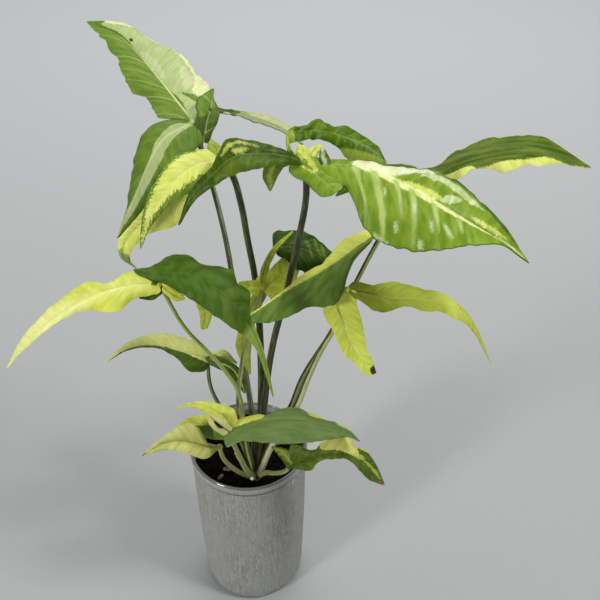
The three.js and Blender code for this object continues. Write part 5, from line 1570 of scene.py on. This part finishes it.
# The low leaf across the front of the stalks: a long satin blue-green lobe with yellow at its far
# edge, a yellow lobe to the left behind and a half green one in front of it.
low_front_marks = {
    "green": ((0.09, 0.165, 0.013), (0.135, 0.215, 0.025), 0.3, 0.1),
    "yellow": ((0.5, 0.54, 0.07), (0.62, 0.65, 0.12), 0.35, 0.1),
    "pale": ((0.55, 0.56, 0.2), (0.63, 0.63, 0.26), 0.3, 0.1),
    "shadow": ((0.01, 0.012, 0.004), (0.03, 0.035, 0.01), 0.2, 0.1, 0.6),
}
low_front_rows = dict(slant=0.9, spacing=9)
low_front_skin = leaf_skin(
    "low_front_skin", ((0.11, 0.175, 0.045), (0.15, 0.22, 0.06)), low_front_marks,
    rib=(0.26, 0.33, 0.13), veins=(0.3, 0.36, 0.15), **low_front_rows, cloudy=(0.25, 1.2, 1.0))
low_front_lobes = [
    dict(
        rib=[(-6, -51, 221), (-12, -46, 228), (-24, -42, 233), (-34, -40, 232), (-44, -39, 228)],
        left=[(-3, -4, -2), (-1, -5, -2), (-1, -3, -3), (0, -1, -1)],
        right=[(4, 4, 2), (6, 5, 2), (1, 3, 1), (0, 1, 1)],
        yellow=["all"],
    ),
    dict(
        rib=[(-10, -52, 219), (6, -50, 225), (26, -50, 229), (46, -52, 229), (66, -56, 225), (79, -60, 218)],
        left=[(1.5, 8, -1.5), (1.5, 12, -4), (2, 12, -3), (2, 10, -5), (2, 6, -4)],
        right=[(-2, -10, -4), (0, -15, -3), (0, -17, -7), (0, -14, -6), (0, -6, -2)],
        left_edge=[(0, 1), (0.25, 0.9), (0.31, 0.45), (0.36, 0.75), (0.4, 1.1), (0.44, 1.14), (0.58, 1.08),
                   (0.64, 1.3), (0.69, 0.95), (0.75, 1.5), (0.83, 1.5), (0.9, 1.4), (1, 1)],
        right_edge=[(0, 0.88), (0.03, 1.1), (0.15, 0.88), (0.21, 0.95), (0.34, 0.9), (0.57, 0.98),
                    (0.78, 1.02), (0.87, 0.6), (1, 0.6)],
        waves=2, ripple=1.2,
        yellow=[[(-0.02, 0.25), (0.08, 0.05), (0.2, 0.05), (0.3, 0.2), (0.24, 0.9), (0.14, 1.2),
                 (-0.02, 1.2)],
                 [(0.56, 1.2), (0.58, 0.5), (0.64, 0.45), (0.7, 0.7), (0.7, 1.2)],
                 [(0.73, 1.2), (0.76, 0.65), (0.85, 0.75), (0.88, 1.2)]],
        rib_show=0.25, side_show=0.04, quilt=0.1,
    ),
    dict(
        rib=[(-8, -51, 218), (-25, -39, 211.5), (-38, -36, 211), (-48, -36, 203)],
        left=[(1, -6, -2), (2, -4.5, -9), (0.5, -4, -6.5)],
        right=[(0, 5, 3), (0, 6, 3), (-0.5, 4, -0.5)],
        green=["all"],
        yellow=[[(0.58, 0.4), (0.36, 0.05), (0.18, -0.25), (-0.02, -0.3), (-0.02, -1.2), (0.5, -1.3),
                 (1.05, -1.2), (1.05, 1.2), (0.6, 1.2)]],
        rib_show=0.2,
    ),
    dict(
        rib=[(-8, -53, 221), (-14, -53, 228), (-20, -51, 233)],
        left=[(-3, -3, -2), (-4, -3, -2)],
        right=[(3, 0, 2), (4, 0, 2)],
        arch=0.4, tip=2.5,
        pale=["all"], shadow=[[(0.25, 0.1), (0.45, 0.5), (0.7, 0.3), (0.6, -0.1), (0.4, -0.2)]],
        rib_show=0.2,
    ),
]
leaf(
    "leaf_low_front", (-8, -52, 219), low_front_lobes, low_front_skin, "leaf_green", low_front_marks,
    **low_front_rows)


# The low leaf at the right, over the rim of the pot: dark green with a tan-yellow back, a lighter
# band down to its browned tip.
low_right_marks = {
    "light": ((0.28, 0.34, 0.05), (0.38, 0.43, 0.08), 0.6, 0.2),
    "tan": ((0.5, 0.5, 0.1), (0.6, 0.59, 0.15), 0.4, 0.2),
    "brown": ((0.16, 0.08, 0.03), (0.25, 0.15, 0.07), 0.2, 0.1),
}
low_right_rows = dict(slant=0.9, spacing=8)
low_right_skin = leaf_skin(
    "low_right_skin", ((0.06, 0.11, 0.008), (0.11, 0.17, 0.02)), low_right_marks,
    rib=(0.25, 0.3, 0.08), veins=(0.2, 0.26, 0.08), **low_right_rows)
low_right_lobes = [
    dict(
        rib=[(33, -50, 183), (46, -53, 193), (60, -56, 200), (73, -59, 203), (85, -62, 195), (97, -64, 179)],
        left=[(-2, 8, 10), (0, 4, 5), (0, 7, 7), (1.5, 8, 5.5), (3, 6, 2)],
        right=[(2.5, -5, 0.5), (-0.5, -9, -2), (-2, -5, 1), (-3.5, -5, 1), (-4, -4, -2.5)],
        left_edge=[(0, 1.1), (0.08, 1.28), (0.13, 1.26), (0.2, 0.9), (0.27, 0.76), (0.29, 1.2), (0.36, 1.08),
                   (0.54, 1.12), (0.6, 1), (0.65, 0.65), (0.72, 1.1), (0.83, 1.06), (1, 1.2)],
        right_edge=[(0, 0.5), (0.03, 0.8), (0.17, 1), (0.25, 1.1), (0.27, 0.7), (0.32, 0.42), (0.41, 0.6),
                    (0.55, 1.2), (0.64, 0.86), (0.71, 0.77), (0.8, 0.9), (0.89, 1.3), (1, 1.2)],
        waves=2, ripple=1.2,
        tan=[[(0.28, 1.3), (0.32, 0.55), (0.48, 0.3), (0.62, 0.05), (0.68, 0.3), (0.66, 0.75), (0.74, 0.9),
              (0.77, 1.3), (0.5, 1.5)]],
        light=[[(0.62, -0.15), (0.72, 0.1), (0.82, 0.1), (0.94, 0.1), (0.88, 0.4), (0.76, 0.3), (0.7, 0.4)]],
        brown=[[(0.97, -1.2), (0.95, 0), (0.97, 1.2), (1.05, 1.2), (1.05, -1.2)]],
    ),
    dict(
        rib=[(34, -51, 183), (28, -47, 190), (20, -44, 195)],
        left=[(-2, -2, -3), (-2, -1, -2)],
        right=[(4, 3, 3), (3, 3, 2)],
        light=[[(0.1, -0.8), (0.5, -0.8), (0.9, -0.2), (0.9, 0.6), (0.5, 0.4), (0.1, 0.2)]],
    ),
]
leaf(
    "leaf_low_right", (33, -50, 182), low_right_lobes, low_right_skin, "leaf_green", low_right_marks,
    **low_right_rows)
